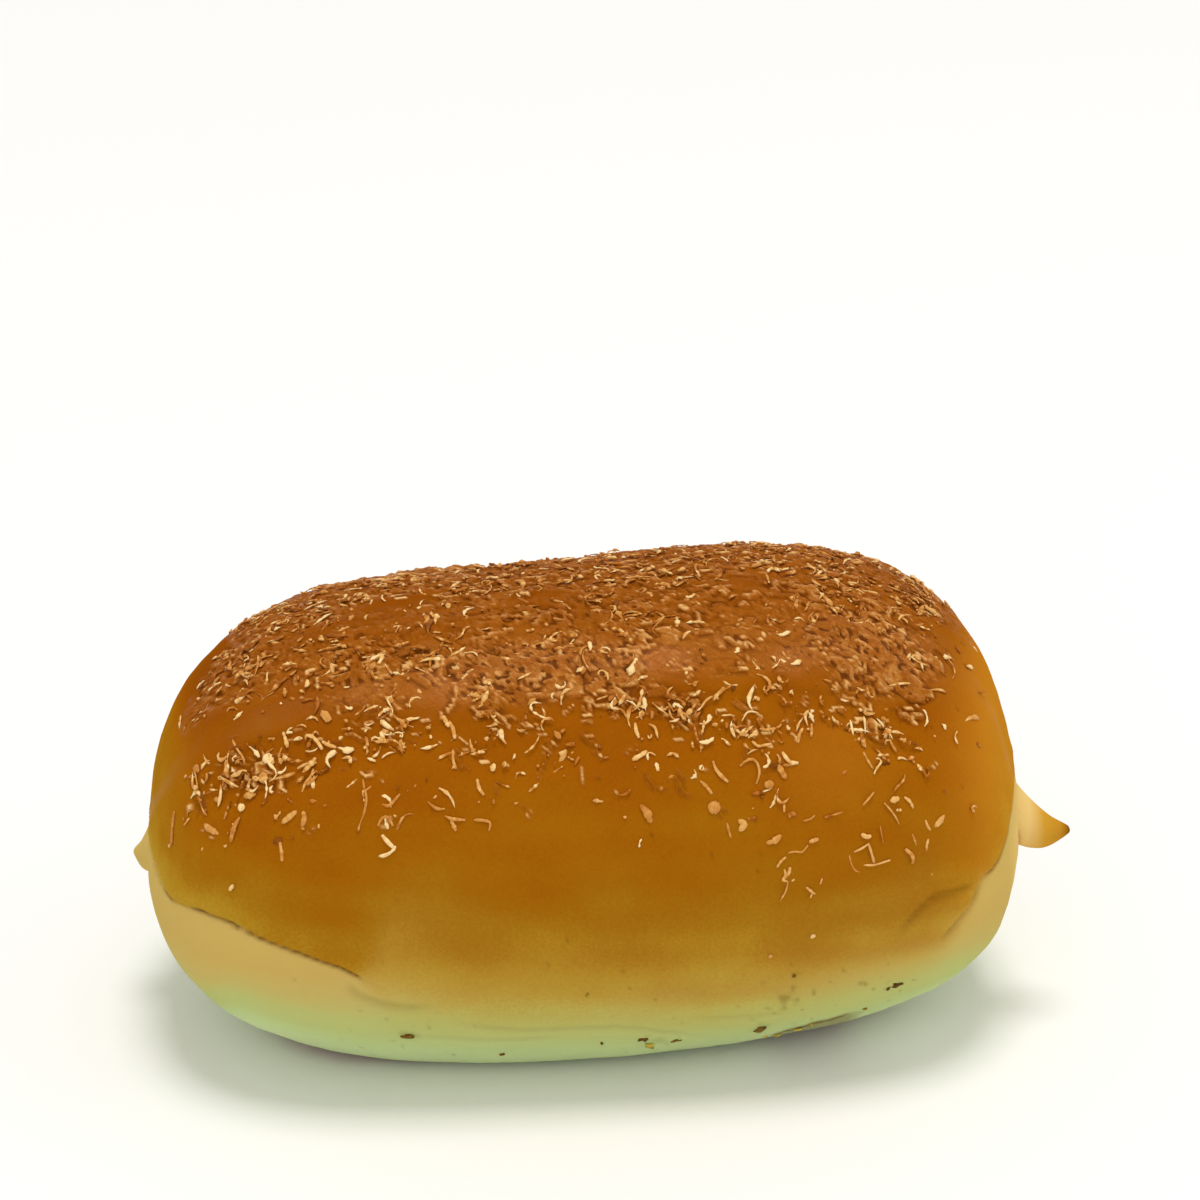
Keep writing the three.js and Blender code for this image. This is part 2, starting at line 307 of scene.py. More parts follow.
def lineDistance(points, line, farthest=12.0):
    # Distance to a chain of straight pieces, and the share of the chain's length reached:
    # each point is dropped onto each piece, and the nearest foot is kept.
    flat = points.reshape(-1, 3)
    middle = (line.min(0) + line.max(0)) / 2
    reach = np.linalg.norm(line - middle, axis=1).max() + farthest
    near = np.flatnonzero(np.linalg.norm(flat - middle, axis=1) < reach)
    places = flat[near]
    best, reached = np.full(len(near), 1e9), np.zeros(len(near))
    lengths = np.linalg.norm(np.diff(line, axis=0), axis=1)
    before = np.concatenate([[0], np.cumsum(lengths)])
    for start, end, done, length in zip(line[:-1], line[1:], before[:-1], lengths):
        way = end - start
        along = np.clip(((places - start) @ way) / length**2, 0, 1)
        gap = np.linalg.norm(places - (start + along[:, None] * way), axis=1)
        closer = gap < best
        best = np.where(closer, gap, best)
        reached = np.where(closer, (done + along * length) / before[-1], reached)
    allBest, allReached = np.full(len(flat), 1e9), np.zeros(len(flat))
    allBest[near], allReached[near] = best, reached
    return allBest.reshape(points.shape[:-1]), allReached.reshape(points.shape[:-1])


def skinEdge(points, x, top):
    # Signed distance in mm from the skin's edge, above 0 on the pale side, and its sharpness.
    front = top >= 0
    distance, sharp = np.zeros(x.shape), np.zeros(x.shape)
    for side, sign, chosen in (("front", 1, front), ("back", -1, ~front)):
        places = np.array(skin[side], float)
        edge = crustLine(np.column_stack([places[:, 0], sign * places[:, 1]]))
        gap, _ = lineDistance(points, edge)
        limitHere = np.interp(x, places[:, 0], places[:, 1])
        limitHere = np.where(x > places[-1, 0], -1, limitHere)
        sharpTable = np.array(skin["sharp" + side.capitalize()], float)
        distance = np.where(chosen, np.sign(np.abs(top) - limitHere) * gap, distance)
        sharp = np.where(chosen, np.interp(x, sharpTable[:, 0], sharpTable[:, 1]), sharp)
    return distance, sharp


def foldRelief(points, top):
    # For each fold: -depth exp(-(d/reach)^2) + roll exp(-((d - rollReach)/rollReach)^2),
    # fading out at both of the line's ends.
    relief = np.zeros(points.shape[:-1])
    shade = np.zeros(points.shape[:-1])
    for depth, reach, roll, rollReach, places in folds:
        gap, reached = lineDistance(points, crustLine(roundedLine(places)))
        strength = softStep(reached, 0.0, 0.18) * softStep(reached, 1.0, 0.7)
        dip = bell(gap, reach) * strength
        relief += roll * bell(gap - rollReach, rollReach) * strength - depth * dip
        # shade is a painted shade: each fold's dip is also darkened in colour
        shade = np.maximum(shade, dip * min(1, depth / 0.5))
    return relief, shade


# The burnt line along the base's edge at the right front, painted shadow below it, brown stains above
# it, and painted shade in the folds.
burntAndShaded = {
    # places across and down the picture where the line was seen, in pixels
    "seen": [
        (766, 1036), (777, 1034), (788, 1031), (805, 1027), (815, 1023), (830, 1020), (846, 1015),
        (858, 1013), (870, 1010),
    ],
    "reach": 0.62,
    # how dark the burnt line is, the painted shadow on the crust below it, the line along the skin's
    # sharp edge, and the painted shade in the folds
    "line": 0.95,
    "below": 0.5,
    "edge": 0.9,
    "folds": 0.34,
    # x, degrees from the top, reach in mm, strength
    "stains": [
        (21.7, 110.1, 0.8, 0.42), (21.5, 113.8, 0.5, 0.4), (22.3, 102.6, 0.35, 0.3),
        (31.1, 109.1, 0.4, 0.4), (34.9, 114.4, 0.4, 0.35), (6.4, 124.5, 1.0, 0.2),
        (19.0, 123, 0.9, 0.25), (-24.3, 121, 0.9, 0.25), (-7.6, 96.5, 0.25, 0.4),
        (3.7, 90.5, 0.3, 0.2),
    ],
}


def burntShare(points, line):
    # exp(-(d/reach)^2) along the line, broken up by the waviness, and the same round each stain.
    gap, reached = lineDistance(points, line, 2.0)
    broken = np.clip(1.0 + 0.4 * ripple(points, 2.2, 14), 0, 1)
    share = bell(gap, burntAndShaded["reach"]) * softStep(reached, 0, 0.1) * softStep(reached, 1, 0.75) * broken
    ragged = 1 + 0.5 * ripple(points, 1.4, 15)
    for x, top, reach, strength in burntAndShaded["stains"]:
        away = np.linalg.norm(points - crustLine([(x, top)])[0], axis=-1)
        share = np.maximum(share, strength * bell(away * ragged, reach))
    return share


# Where the topping is thin (gain below 0) or thick: x, degrees from the top, reach in x,
# reach in degrees, gain.
toppingZones = [
    (-23, 2, 6, 3.5, -0.95), (-6, 7, 4, 3, -0.8), (20, 9, 5, 5, -0.7), (-17, 14, 6, 5, -0.6),
    (47, 20, 5, 6, -0.7), (-49, 31, 7, 10, -0.98), (-40, 34, 5, 4.5, -0.9), (15, 22, 4, 4, -0.4),
    (-20, 36, 5, 6, -0.9), (-28, 33, 4, 3, -0.6), (15, 37, 7, 5, -0.6), (7, 31, 4, 3.5, -0.7),
    (26, 37, 4, 5, -0.85), (46, 45, 5, 9, -0.95), (2, 47, 5, 3.5, -0.5), (-20, 52, 3.5, 6, -0.85),
    (-32, 58, 4, 6, -0.75), (26, 58, 4, 6, -0.8), (31, 63, 5, 5, -0.85), (-5, 64, 4, 6, -0.8),
    (-18, 63, 6, 5, -0.6), (4, 61, 3, 4, -0.6), (46, 66, 5, 9, -0.9), (-50, 66, 3, 9, -0.7),
    (-29, 67, 5, 5, -0.7), (-3, 71, 9, 3, -0.9),
    (-40, 46, 5, 7, 1.1), (-46, 52, 5, 7, 0.6), (-36, 52, 5, 5, 0.6), (35, 56, 4, 7, 1.0),
    (12, 49, 6, 5, 0.7), (20, 44, 4, 7, 0.7), (-27, 44, 6, 5, 0.4), (-5, 54, 5, 4, 0.6),
    (-8, 32, 13, 7, 0.9), (34, 28, 8, 10, 0.9), (-28, 22, 7, 5, 0.9), (-43, 13, 7, 6, 0.5),
    (0, 41, 7, 4, 0.6), (10, 43, 6, 4, 0.7), (30, 46, 8, 6, 0.8), (-11, 49, 5, 7, 0.9),
    (13, 26, 7, 5, -0.5), (25, 28, 6, 5, -0.7), (51, 6, 5, 14, -0.5), (47, 34, 4, 9, -0.7),
    (-29, 9, 7, 4, -0.7), (30, 5, 18, 10, 0.5), (0, -8, 46, 9, 0.5),
    (-6, -42, 10, 8, -0.85), (26, -50, 8, 9, -0.85), (-36, -34, 8, 8, -0.85), (12, -22, 8, 6, -0.6),
    (44, -26, 6, 9, -0.7), (-18, -58, 7, 7, -0.7),
    (-18, -28, 12, 8, 1.0), (34, -30, 9, 8, 1.0), (4, -56, 12, 6, 0.6), (-42, -54, 7, 8, 0.8),
]
# Where the flakes lie slanting: x, degrees from the top, reaches, and the slant in radians.
slants = [
    (36, 30, 9, 16, 0.75), (-12, 34, 8, 8, -0.5), (44, 6, 7, 10, 0.35), (-40, 48, 8, 14, 1.3),
    (12, 56, 10, 9, 1.2),
]
# Where the flakes are washed over with egg and lie under the crust's own gloss.
glazedZones = [
    (-9, 31, 14, 8, 1.0), (34, 31, 8, 12, 1.0), (-28, 23, 7, 5, 0.5), (14, 26, 9, 5, 0.5),
    (-18, -28, 13, 8, 1.0), (34, -30, 9, 9, 0.9), (24, 14, 12, 6, 0.4), (0, 16, 14, 5, 0.4),
]
# Patches where the egg glaze lies thick and mirrors the light overhead.
glossZones = [
    (-39, 34, 4, 4, 0.6), (-19, 35, 4, 5, 0.7), (6.5, 32, 4.5, 3.5, 1.3), (24, 34, 3, 4, 0.9),
    (15, 29, 6, 3, 0.15), (-28, 32, 3, 3, 0.6), (-8, 31, 13, 7, 0.5), (34, 31, 8, 10, 0.4),
    (0, 33, 40, 7, 0.12), (-36, -33, 6, 6, 0.7), (24, -38, 6, 6, 0.8), (0, -36, 40, 8, 0.2),
]
toppingCover = {
    # degrees from the top and how thickly the topping lies there
    "front": [
        (0, 1.0), (10, 0.85), (20, 0.8), (50, 0.7), (56, 0.5), (61, 0.26), (66, 0.12), (71, 0.04),
        (76, 0),
    ],
    "back": [(0, 1.0), (10, 0.85), (30, 0.65), (50, 0.55), (60, 0.35), (68, 0.12), (76, 0.02), (84, 0)],
    "endFrom": 46,
    "endTo": 52,
    "leftBorder": -50.2,   # x where the front topping ends at the left, further in towards the back
}


def zoneSum(x, top, zones):
    # Sum of gain exp(-r^3), with r^2 = ((x - x0)/reachX)^2 + ((t - t0)/reachT)^2.
    total = np.zeros(np.broadcast(x, top).shape)
    for x0, top0, reachX, reachTop, gain in zones:
        total = total + gain * np.exp(-np.hypot((x - x0) / reachX, (top - top0) / reachTop) ** 3)
    return total


def coverAt(x, top):
    # How thickly the topping lies: the front's or the back's table, faded out at both ends,
    # times 1 + gain in each zone.
    front = np.interp(np.abs(top), *np.array(toppingCover["front"], float).T)
    back = np.interp(np.abs(top), *np.array(toppingCover["back"], float).T)
    cover = np.where(top >= 0, front, back)
    cover = cover * (1 - softStep(np.abs(x + 1), toppingCover["endFrom"], toppingCover["endTo"]))
    border = toppingCover["leftBorder"] + 0.33 * np.clip(10 - top, 0, 20)
    cover = cover * softStep(x, border - 1.2, border + 0.8)
    for zone in toppingZones:
        cover = cover * (1 + zoneSum(x, top, [zone]))
    return cover


# The bun itself

bunSurface = {
    # how many lines, and how close they stand: along the bun by share from the left tip to the
    # right, round it by degrees, with 0 at the back, 90 at the top, 180 in front, 270 below
    "linesAlong": 328,
    "closeAlong": [
        (0, 1.0), (0.05, 0.8), (0.1, 0.45), (0.2, 0.45), (0.26, 1.1), (0.3, 1.5), (0.7, 1.5),
        (0.74, 1.1), (0.8, 0.45), (0.9, 0.45), (0.95, 0.8), (1, 1.0),
    ],
    "linesRound": 304,
    "closeRound": [
        (0, 3.6), (14, 3.4), (24, 1.9), (72, 3.0), (135, 3.8), (160, 2.6), (176, 3.6), (204, 3.6),
        (218, 1.8), (240, 0.7), (340, 0.7), (355, 3.4), (360, 3.6),
    ],
    "browning": [
        (0, 1.0), (12, 0.95), (30, 0.84), (45, 0.75), (58, 0.68), (75, 0.6), (87, 0.5), (97, 0.39),
        (105, 0.3), (120, 0.14), (150, 0.05),
    ],
    "endPaling": 0.16,
    "patchiness": 0.027,
    # loss, x, reach, degrees from the top, reach
    "palerSpots": [(0.07, 41.5, 5, 95, 6)],
    # loss, x where it starts and is full, the same in degrees from the top, and whether those
    # go by height at the ends
    "palerStretches": [
        (0.12, (-38, -53), (62, 86), True), (0.04, (-6, -24), (72, 88), False),
        (0.06, (-47, -53), (5, 40), True),
    ],
    # the more orange crust: share, x where it starts and is full, middle and reach in degrees
    "emberStretches": [(1.0, (38, 51), 60, 42), (0.12, (-46, -53), 60, 40)],
    "emberSpots": [(0.35, 27, 7, 58, 12)],
    # height in mm, wavelength and seed of the crust's waves, and of more under the egg
    "waves": [(0.07, 9, 5), (0.03, 3.2, 6)],
    "glazedWaves": [(0.22, 4.2, 7), (0.12, 2.4, 8)],
    "underTopping": 0.45,   # how deep the crust itself lies under thick topping
    "baseBrownFrom": 152,   # degrees from the top where the tray-browned base begins
    # the flakes' light edges are a painted highlight on their rims
    "tipReach": 16.0,       # how far from the right point its own colours reach
    "rimHighlightGain": 0.65,        # how strongly the flakes' light edges show
    # depth of the pale dough's colour by height above the table, at the ends; its greener end is painted
    # reflected light
    "endDepth": [(1, 1.0), (6, 0.7), (11, 0.42), (16, 0.22), (22, 0.05), (27, 0)],
}


def crowdedLines(closeness, places):
    # Places whose spacing is inverse to a closeness table: the table's running sum is read
    # backwards at the wanted shares of its total.
    at, close = np.array(closeness, float).T
    fine = np.linspace(at[0], at[-1], 3601)
    close = np.interp(fine, at, close)
    travel = np.concatenate([[0], np.cumsum((close[1:] + close[:-1]) / 2)])
    return np.interp(places * travel[-1], travel, fine)


def bunFields(points, x, top):
    # The crust's fields and its relief in mm. With d the distance from the skin's edge, skin
    # is 0.5 - 0.5 tanh((d + wobble) / reach). Browning and depth are read from tables by degrees
    # from the top. The relief is lip, crease and bulge along the edge, with folds and waves.
    distance, sharp = skinEdge(points, x, top)
    reach = skin["sharpReach"] + (skin["softReach"] - skin["sharpReach"]) * (1 - sharp)
    wobble = ripple(points * np.array([0.3, 1, 1]), 9, 11) * (1 - sharp) * 1.1
    skinShare = 0.5 - 0.5 * np.tanh((distance + wobble) / reach)
    fromLeftTip = np.linalg.norm(points - poles[0], axis=-1)
    skinShare = skinShare * softStep(fromLeftTip, 3.0, 5.0)
    # Degrees from the top, and by height alone towards the ends, where the angles run together.
    middle, reachUp = np.where(x > 0, 27, 14), np.where(x > 0, 32, 42)
    byHeight = np.degrees(np.arccos(np.clip((points[..., 2] - middle) / reachUp, -1, 1)))
    turned = np.abs(top) + softStep(np.abs(x), 45, 54) * (byHeight - np.abs(top))
    browning = np.interp(turned, *np.array(bunSurface["browning"], float).T)
    browning = browning - bunSurface["endPaling"] * softStep(np.abs(x), 42, 55) * softStep(turned, 0, 50)
    streaks = ripple(points * np.array([0.28, 1, 1]), 4.5, 4)
    browning = browning + bunSurface["patchiness"] * (ripple(points, 16, 3) + 0.8 * streaks)
    for loss, spotX, reachX, spotTop, reachTop in bunSurface["palerSpots"]:
        browning = browning - loss * bell(x - spotX, reachX) * bell(top - spotTop, reachTop)
    for loss, alongIn, downIn, byTurn in bunSurface["palerStretches"]:
        browning = browning - loss * softStep(x, *alongIn) * softStep(turned if byTurn else top, *downIn)
    ember = np.zeros(x.shape)
    for share, alongIn, middleTurn, reachTurn in bunSurface["emberStretches"]:
        ember = ember + share * softStep(x, *alongIn) * bell(turned - middleTurn, reachTurn)
    for share, spotX, reachX, spotTop, reachTop in bunSurface["emberSpots"]:
        ember = ember + share * bell(x - spotX, reachX) * bell(top - spotTop, reachTop)
    ember = np.clip(ember, 0, 1)
    endShare = softStep(np.abs(x), 42, 52)
    # Depth also brings in the green cast near the table: painted reflected light.
    depth = softStep(turned, 86, 142)
    endDepths = np.interp(points[..., 2], *np.array(bunSurface["endDepth"], float).T)
    depth = depth + endShare * (endDepths - depth)
    edge = bell(distance, skin["creaseReach"]) * sharp
    lip = bell(distance, skin["lipReach"]) * (distance < 0) * sharp
    bulge = bell(distance - skin["bulgePlace"], skin["bulgeReach"]) * (distance > 0) * sharp
    foldHeight, foldShade = foldRelief(points, top)
    relief = skin["lip"] * lip - skin["crease"] * edge + skin["bulge"] * bulge + foldHeight
    glazed = np.clip(zoneSum(x, top, glazedZones), 0, 1)
    for share, waves in ((1, "waves"), (glazed, "glazedWaves")):
        for high, wavelength, seed in bunSurface[waves]:
            relief = relief + share * high * ripple(points, wavelength, seed)
    relief = relief - bunSurface["underTopping"] * softStep(coverAt(x, top), 0.4, 1.1)
    relief = relief * softStep(points[..., 2], 0.3, 3.0)
    baseLimit = bunSurface["baseBrownFrom"] + 1.2 * ripple(points, 8, 9)
    base = softStep(np.abs(top), baseLimit - 1.0, baseLimit + 1.0) * softStep(points[..., 2], 1.6, 0.9)
    # Darker along the skin's sharp edge, and painted shade along the folds' lines.
    scorchAndShade = burntAndShaded["edge"] * bell(distance - 0.02, skin["creaseReach"]) * softStep(sharp, 0.84, 1)
    scorchAndShade = np.maximum(scorchAndShade, burntAndShaded["folds"] * foldShade)
    lineShare, lineAngle = castPlaces(burntAndShaded["seen"])
    burntLine = burntShare(points, crustPoint(lineShare, lineAngle))
    scorchAndShade = np.maximum(scorchAndShade, burntAndShaded["line"] * burntLine)
    lineX = placeAlong(lineShare)
    # Painted shadow: below the burnt line the crust is darkened as a contact shadow.
    under = softStep(top - np.interp(x, lineX, fromTop(lineAngle)), 0, 1.5)
    under = under * softStep(x, lineX[0], lineX[0] + 3) * softStep(x, lineX[-1], lineX[-1] - 3)
    scorchAndShade = np.maximum(scorchAndShade, burntAndShaded["below"] * under)
    gloss = np.clip(zoneSum(x, top, glossZones) * (1 + 0.35 * ripple(points, 3.5, 12)), 0, 1.5)
    fields = {
        "browning": browning, "skin": skinShare, "depth": depth, "scorchAndShade": scorchAndShade, "base": base,
        "glazed": glazed, "gloss": gloss, "ember": ember,
    }
    return fields, relief


# Crumpled film of egg and flakes, in layers: wavelength in mm, seed, and the heights of a
# plate and of its rim.
crumples = {
    "layers": [
        (5.2, 61, 0.28, 0.14), (3.1, 62, 0.2, 0.2), (1.9, 63, 0.12, 0.16), (1.25, 64, 0.06, 0.1),
    ],
    "stretch": (0.68, 1.0, 1.0),
    "edge": 0.1,
    "rimPlace": 0.1,
    "rimReach": 0.13,
    "onCrest": 0.5,
    "faint": 0.34,
}


def crumple(points, x, top, glazed):
    # A plate lies wherever an uneven wave w is above 0. With d = w / |slope of w|, about the
    # distance from its edge, the height is plate softStep(d, -edge, edge) + rim
    # exp(-((d - rimPlace)/rimReach)^2).
    rowLength = np.linalg.norm(np.gradient(points, axis=0), axis=-1)
    columnLength = np.linalg.norm(np.gradient(points, axis=1), axis=-1)
    cover = np.clip(coverAt(x, top), 0, 1)
    crest = crumples["onCrest"] * cover * softStep(np.abs(top), 34, 20)
    share = np.maximum(glazed * softStep(cover, 0.1, 0.5), crest)
    faint = crumples["faint"] * softStep(np.abs(x), 40, 30)
    share = np.maximum(share, faint * softStep(top, 4, 12) * softStep(top, 42, 34))
    relief, tone = np.zeros(x.shape), 0.4 - 0.12 * softStep(np.abs(top), 26, 12)
    for wavelength, seed, plate, rim in crumples["layers"]:
        wave = ripple(points * np.array(crumples["stretch"]), wavelength, seed, 24)
        wave = wave + 0.4 * ripple(points, wavelength / 2.7, seed + 10)
        slope = np.hypot(np.gradient(wave, axis=0) / rowLength, np.gradient(wave, axis=1) / columnLength)
        distance = wave / np.maximum(slope, 1 / wavelength)
        gate = share * softStep(ripple(points, wavelength * 2.2, seed + 20), -0.7, 0.2)
        plateShare = softStep(distance, -crumples["edge"], crumples["edge"])
        rimShare = bell(distance - crumples["rimPlace"], crumples["rimReach"])
        relief += gate * (plate * plateShare + rim * rimShare)
        # Tone rises on each rim: a painted highlight along the plates' crests.
        tone += gate * (0.09 * (plateShare - 0.5) + 0.26 * rimShare)
    return relief, tone, 0.9 * softStep(share, 0.05, 0.5)


# Flakes baked into the crust, from the broad ones at the bottom to the strands on top.
pressedFlakes = [
    {
        "name": "plates", "seed": 101, "count": 90, "tries": 90000, "peak": 2.6, "tangle": 9.0,
        "coverPower": 0.8, "glazed": True, "length": (1.6, 4.2), "width": (1.0, 2.0),
        "height": (0.1, 0.26), "bend": 0.06, "lean": 0.7, "lip": 0.12, "heading": 0.8,
        "tone": (0.46, 0.16),
    },
    {
        "name": "lumps", "seed": 102, "count": 180, "tries": 200000, "peak": 2.2, "tangle": 7.0,
        "coverPower": 0.7, "glazed": True, "length": (0.7, 1.9), "width": (0.45, 0.95),
        "height": (0.12, 0.36), "bend": 0.1, "lean": 0.6, "lip": 0.0, "heading": 1.2,
        "tone": (0.46, 0.2),
    },
    {
        "name": "ribbons", "seed": 103, "count": 260, "tries": 200000, "peak": 2.2, "tangle": 7.0,
        "coverPower": 0.7, "glazed": True, "length": (1.8, 6.0), "width": (0.45, 0.95),
        "height": (0.1, 0.26), "bend": 0.14, "lean": 0.9, "lip": 0.14, "heading": 0.8,
        "tone": (0.42, 0.12),
    },
    {
        "name": "strands", "seed": 104, "count": 1150, "tries": 260000, "peak": 3.0, "tangle": 7.0,
        "coverPower": 1.4, "length": (0.7, 2.8), "width": (0.34, 0.5), "height": (0.1, 0.26),
        "bend": 0.22, "lean": 0.3, "lip": 0.0, "heading": 0.75, "tone": (0.46, 0.28),
    },
]


def pressFlakes(style, points, normals, share, angle, relief, tone, mask):
    # Each flake is a patch |2u/length|^3 + |2v/width|^2.4 < 1 in the crust's plane, bent by
    # v - bend u^2. It lies at 0.8 of the mean height under it, raised by height (1 + lean 2v/width),
    # with a lip along one side, and takes the place of what is lower there.
    random = np.random.default_rng(style["seed"])
    flakeShare, flakeAngle, _ = choosePlaces(style, random)
    n = len(flakeShare)
    low, high = style["length"]
    length = low + (high - low) * random.beta(1.3, 2.6, n)
    width = random.uniform(*style["width"], n)
    height = random.uniform(*style["height"], n)
    slant = zoneSum(placeAlong(flakeShare), fromTop(flakeAngle), slants)
    heading = slant + random.normal(0, style["heading"], n)
    bend = random.normal(0, style["bend"], n)
    lean = random.uniform(-1, 1, n) * style["lean"]
    lightness = random.normal(*style["tone"], n)
    phase = random.uniform(0, 6.28, n)
    rowsAt = np.searchsorted(share, flakeShare)
    columnsAt = np.searchsorted(angle, flakeAngle % (2 * np.pi)) % len(angle)
    centres, along, around = flakeFrames(points, normals, rowsAt, columnsAt)
    nextRows = np.minimum(rowsAt + 1, len(share) - 1)
    rowStep = np.linalg.norm(points[nextRows, columnsAt] - centres, axis=-1)
    columnStep = np.linalg.norm(points[rowsAt, (columnsAt + 1) % len(angle)] - centres, axis=-1)
    forward = along * np.cos(heading)[:, None] + around * np.sin(heading)[:, None]
    sideways = np.cross(normals[rowsAt, columnsAt], forward)
    for k in range(n):
        reach = length[k] / 2 + width[k] / 2
        rowReach = int(reach / max(rowStep[k], 0.1)) + 1
        columnReach = int(reach / max(columnStep[k], 0.1)) + 1
        rows = np.arange(max(0, rowsAt[k] - rowReach), min(len(share), rowsAt[k] + rowReach + 1))
        columns = np.arange(columnsAt[k] - columnReach, columnsAt[k] + columnReach + 1) % len(angle)
        block = np.ix_(rows, columns)
        away = points[block] - centres[k]
        u = away @ forward[k] * 2 / length[k]
        v = (away @ sideways[k] - bend[k] * (u * length[k] / 2) ** 2) * 2 / width[k]
        v = v * (1 + 0.14 * np.sin(3.3 * u + phase[k]) + 0.05 * np.sin(8.1 * u + 2 * phase[k]))
        inside = softStep(np.abs(u) ** 3 + np.abs(v) ** 2.4, 1.25, 0.65)
        total = inside.sum()
        if total < 0.5:
            continue
        under = (relief[block] * inside).sum() / total
        crown = under * 0.8 + height[k] * (1 + lean[k] * np.clip(v, -1, 1))
        crown = crown + style["lip"] * bell(v - 0.75, 0.35)
        rise = inside * np.maximum(0, crown - relief[block])
        relief[block] += rise
        shown = np.clip(rise * 8, 0, 1) * inside
        tone[block] += shown * (lightness[k] - tone[block])
        mask[block] = np.maximum(mask[block], inside)


def flakeFrames(points, normals, rows, columns):
    # The crust's point at each flake, and unit directions along and round the bun there.
    centres = points[rows, columns]
    ahead = points[np.minimum(rows + 1, len(points) - 1), columns] - centres
    around = unit(np.cross(ahead, normals[rows, columns]))
    return centres, unit(np.cross(normals[rows, columns], around)), around


def blurred(field, passes):
    # Average with both neighbours, along and round the bun, a few times over.
    for _ in range(passes):
        padded = np.concatenate([field[:1], field, field[-1:]])
        field = (padded[:-2] + padded[1:-1] + padded[2:]) / 3
        field = (np.roll(field, 1, 1) + field + np.roll(field, -1, 1)) / 3
    return field


def buildBun(material):
    # A closed grid of shares and angles on the crust, moved out along its normals by the
    # relief and the flakes, with a fan of triangles at each point.
    along, around = bunSurface["linesAlong"], bunSurface["linesRound"]
    share = crowdedLines(bunSurface["closeAlong"], np.arange(1, along + 1) / (along + 1))
    angle = np.radians(crowdedLines(bunSurface["closeRound"], np.arange(around) / around))
    shares, angles = np.meshgrid(share, angle, indexing="ij")
    points, normals, _, _ = crustFrame(shares, angles)
    x = placeAlong(shares)
    fields, relief = bunFields(points, x, fromTop(angles))
    flakes, tone, pressed = crumple(points, x, fromTop(angles), fields["glazed"])
    for style in pressedFlakes:
        pressFlakes(style, points, normals, share, angle, flakes, tone, pressed)
    # Painted shade: the hollows between pressed flakes, where the relief lies below its blur, are
    # darkened in colour.
    hollowShade = (blurred(flakes, 2) - flakes) * softStep(blurred(pressed, 3), 0, 0.3)
    fields["hollowShade"] = np.clip(hollowShade, -1, 1)
    # Painted highlight: the rims, where the relief stands above its blur, are lightened in colour.
    fields["rim"] = np.clip(bunSurface["rimHighlightGain"] * (flakes - blurred(flakes, 1)), 0, 1)
    fields["tone"], fields["pressed"] = tone, pressed
    points = points + normals * (relief + flakes)[..., None]
    rows, columns = shares.shape
    index = np.arange(rows * columns).reshape(rows, columns)
    nextColumn = np.roll(index, -1, axis=1)
    quads = np.stack([index[:-1], nextColumn[:-1], nextColumn[1:], index[1:]], -1).reshape(-1, 4)
    leftPole, rightPole = rows * columns, rows * columns + 1
    leftFan = np.stack([np.full(columns, leftPole), nextColumn[0], index[0]], -1)
    rightFan = np.stack([np.full(columns, rightPole), index[-1], nextColumn[-1]], -1)
    allPoints = np.concatenate([points.reshape(-1, 3), poles])
    allPoints = allPoints - np.array([middleX, 0, 0])
    ends = {name: [values[0].mean(), values[-1].mean()] for name, values in fields.items()}
    fields = {name: np.concatenate([values.ravel(), ends[name]]) for name, values in fields.items()}
    fromTip = np.linalg.norm(allPoints - allPoints[-1], axis=1)
    fields["tip"] = np.clip(1 - fromTip / bunSurface["tipReach"], 0, 1)
    faces = [quads, np.concatenate([leftFan, rightFan])]
    piece = makePiece("bunCrust", allPoints, faces, fields, material)
    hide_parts("bun")
    return piece


# Topping. In its pieces' dictionaries count is how many places are wanted of the tries drawn,
# peak sets how rarely one is kept, tangle is how wide the clusters are in mm, and coverPower
# how strictly they keep to the cover. Bend and kink are turns in radians, taper and wedge
# shares of the width lost towards both ends or one. Pile, raised and arch are how far in mm a
# flake may stand off the crust, and bed is that same in shares of its own height. Tone is the
# mean and the spread of lightness, from 0 to 1, and bright the share of lighter ones.

def crustLift(share, angle):
    # How far the crust lies above its plain form under the topping.
    x, top = placeAlong(share), fromTop(angle)
    return (0.2 - bunSurface["underTopping"]) * softStep(coverAt(x, top), 0.4, 1.1)


def choosePlaces(style, random):
    # Places by draw: a random place is kept with a chance of cover x area x tangle.
    share = random.uniform(0.02, 0.98, style["tries"])
    top = random.uniform(-95, 95, style["tries"])
    chance = random.random(style["tries"])
    angle = np.radians(top + 90)
    point, _, along, around = crustFrame(share, angle)
    x = placeAlong(share)
    area = np.linalg.norm(along, axis=-1) * np.linalg.norm(around, axis=-1)
    tangle = 0.3 + 1.5 * softStep(ripple(point, style["tangle"], style["seed"] + 50), -0.3, 0.9)
    glazed = np.clip(zoneSum(x, top, glazedZones), 0, 1)
    cover = coverAt(x, top) ** style["coverPower"]
    cover = cover * (glazed if style.get("glazed") else 1 - 0.55 * glazed)
    weight = np.clip(cover * tangle, 0, None) * area
    kept = np.flatnonzero(chance * style["peak"] * np.percentile(area, 90) < weight)[: style["count"]]
    print(f"{style['name']}: {len(kept)} of {style['count']} places")
    return share[kept], angle[kept], cover[kept]


def layPath(share, angle, offsetAlong, offsetAround):
    # Moves over the crust by distances in mm: share + a/|dP/ds|, angle + b/|dP/dangle|.
    _, _, along, around = crustFrame(share, angle)
    lengthAlong = np.linalg.norm(along, axis=-1)[:, None]
    lengthAround = np.linalg.norm(around, axis=-1)[:, None]
    newShare = np.clip(share[:, None] + offsetAlong / lengthAlong, 0.003, 0.997)
    return newShare, angle[:, None] + offsetAround / lengthAround


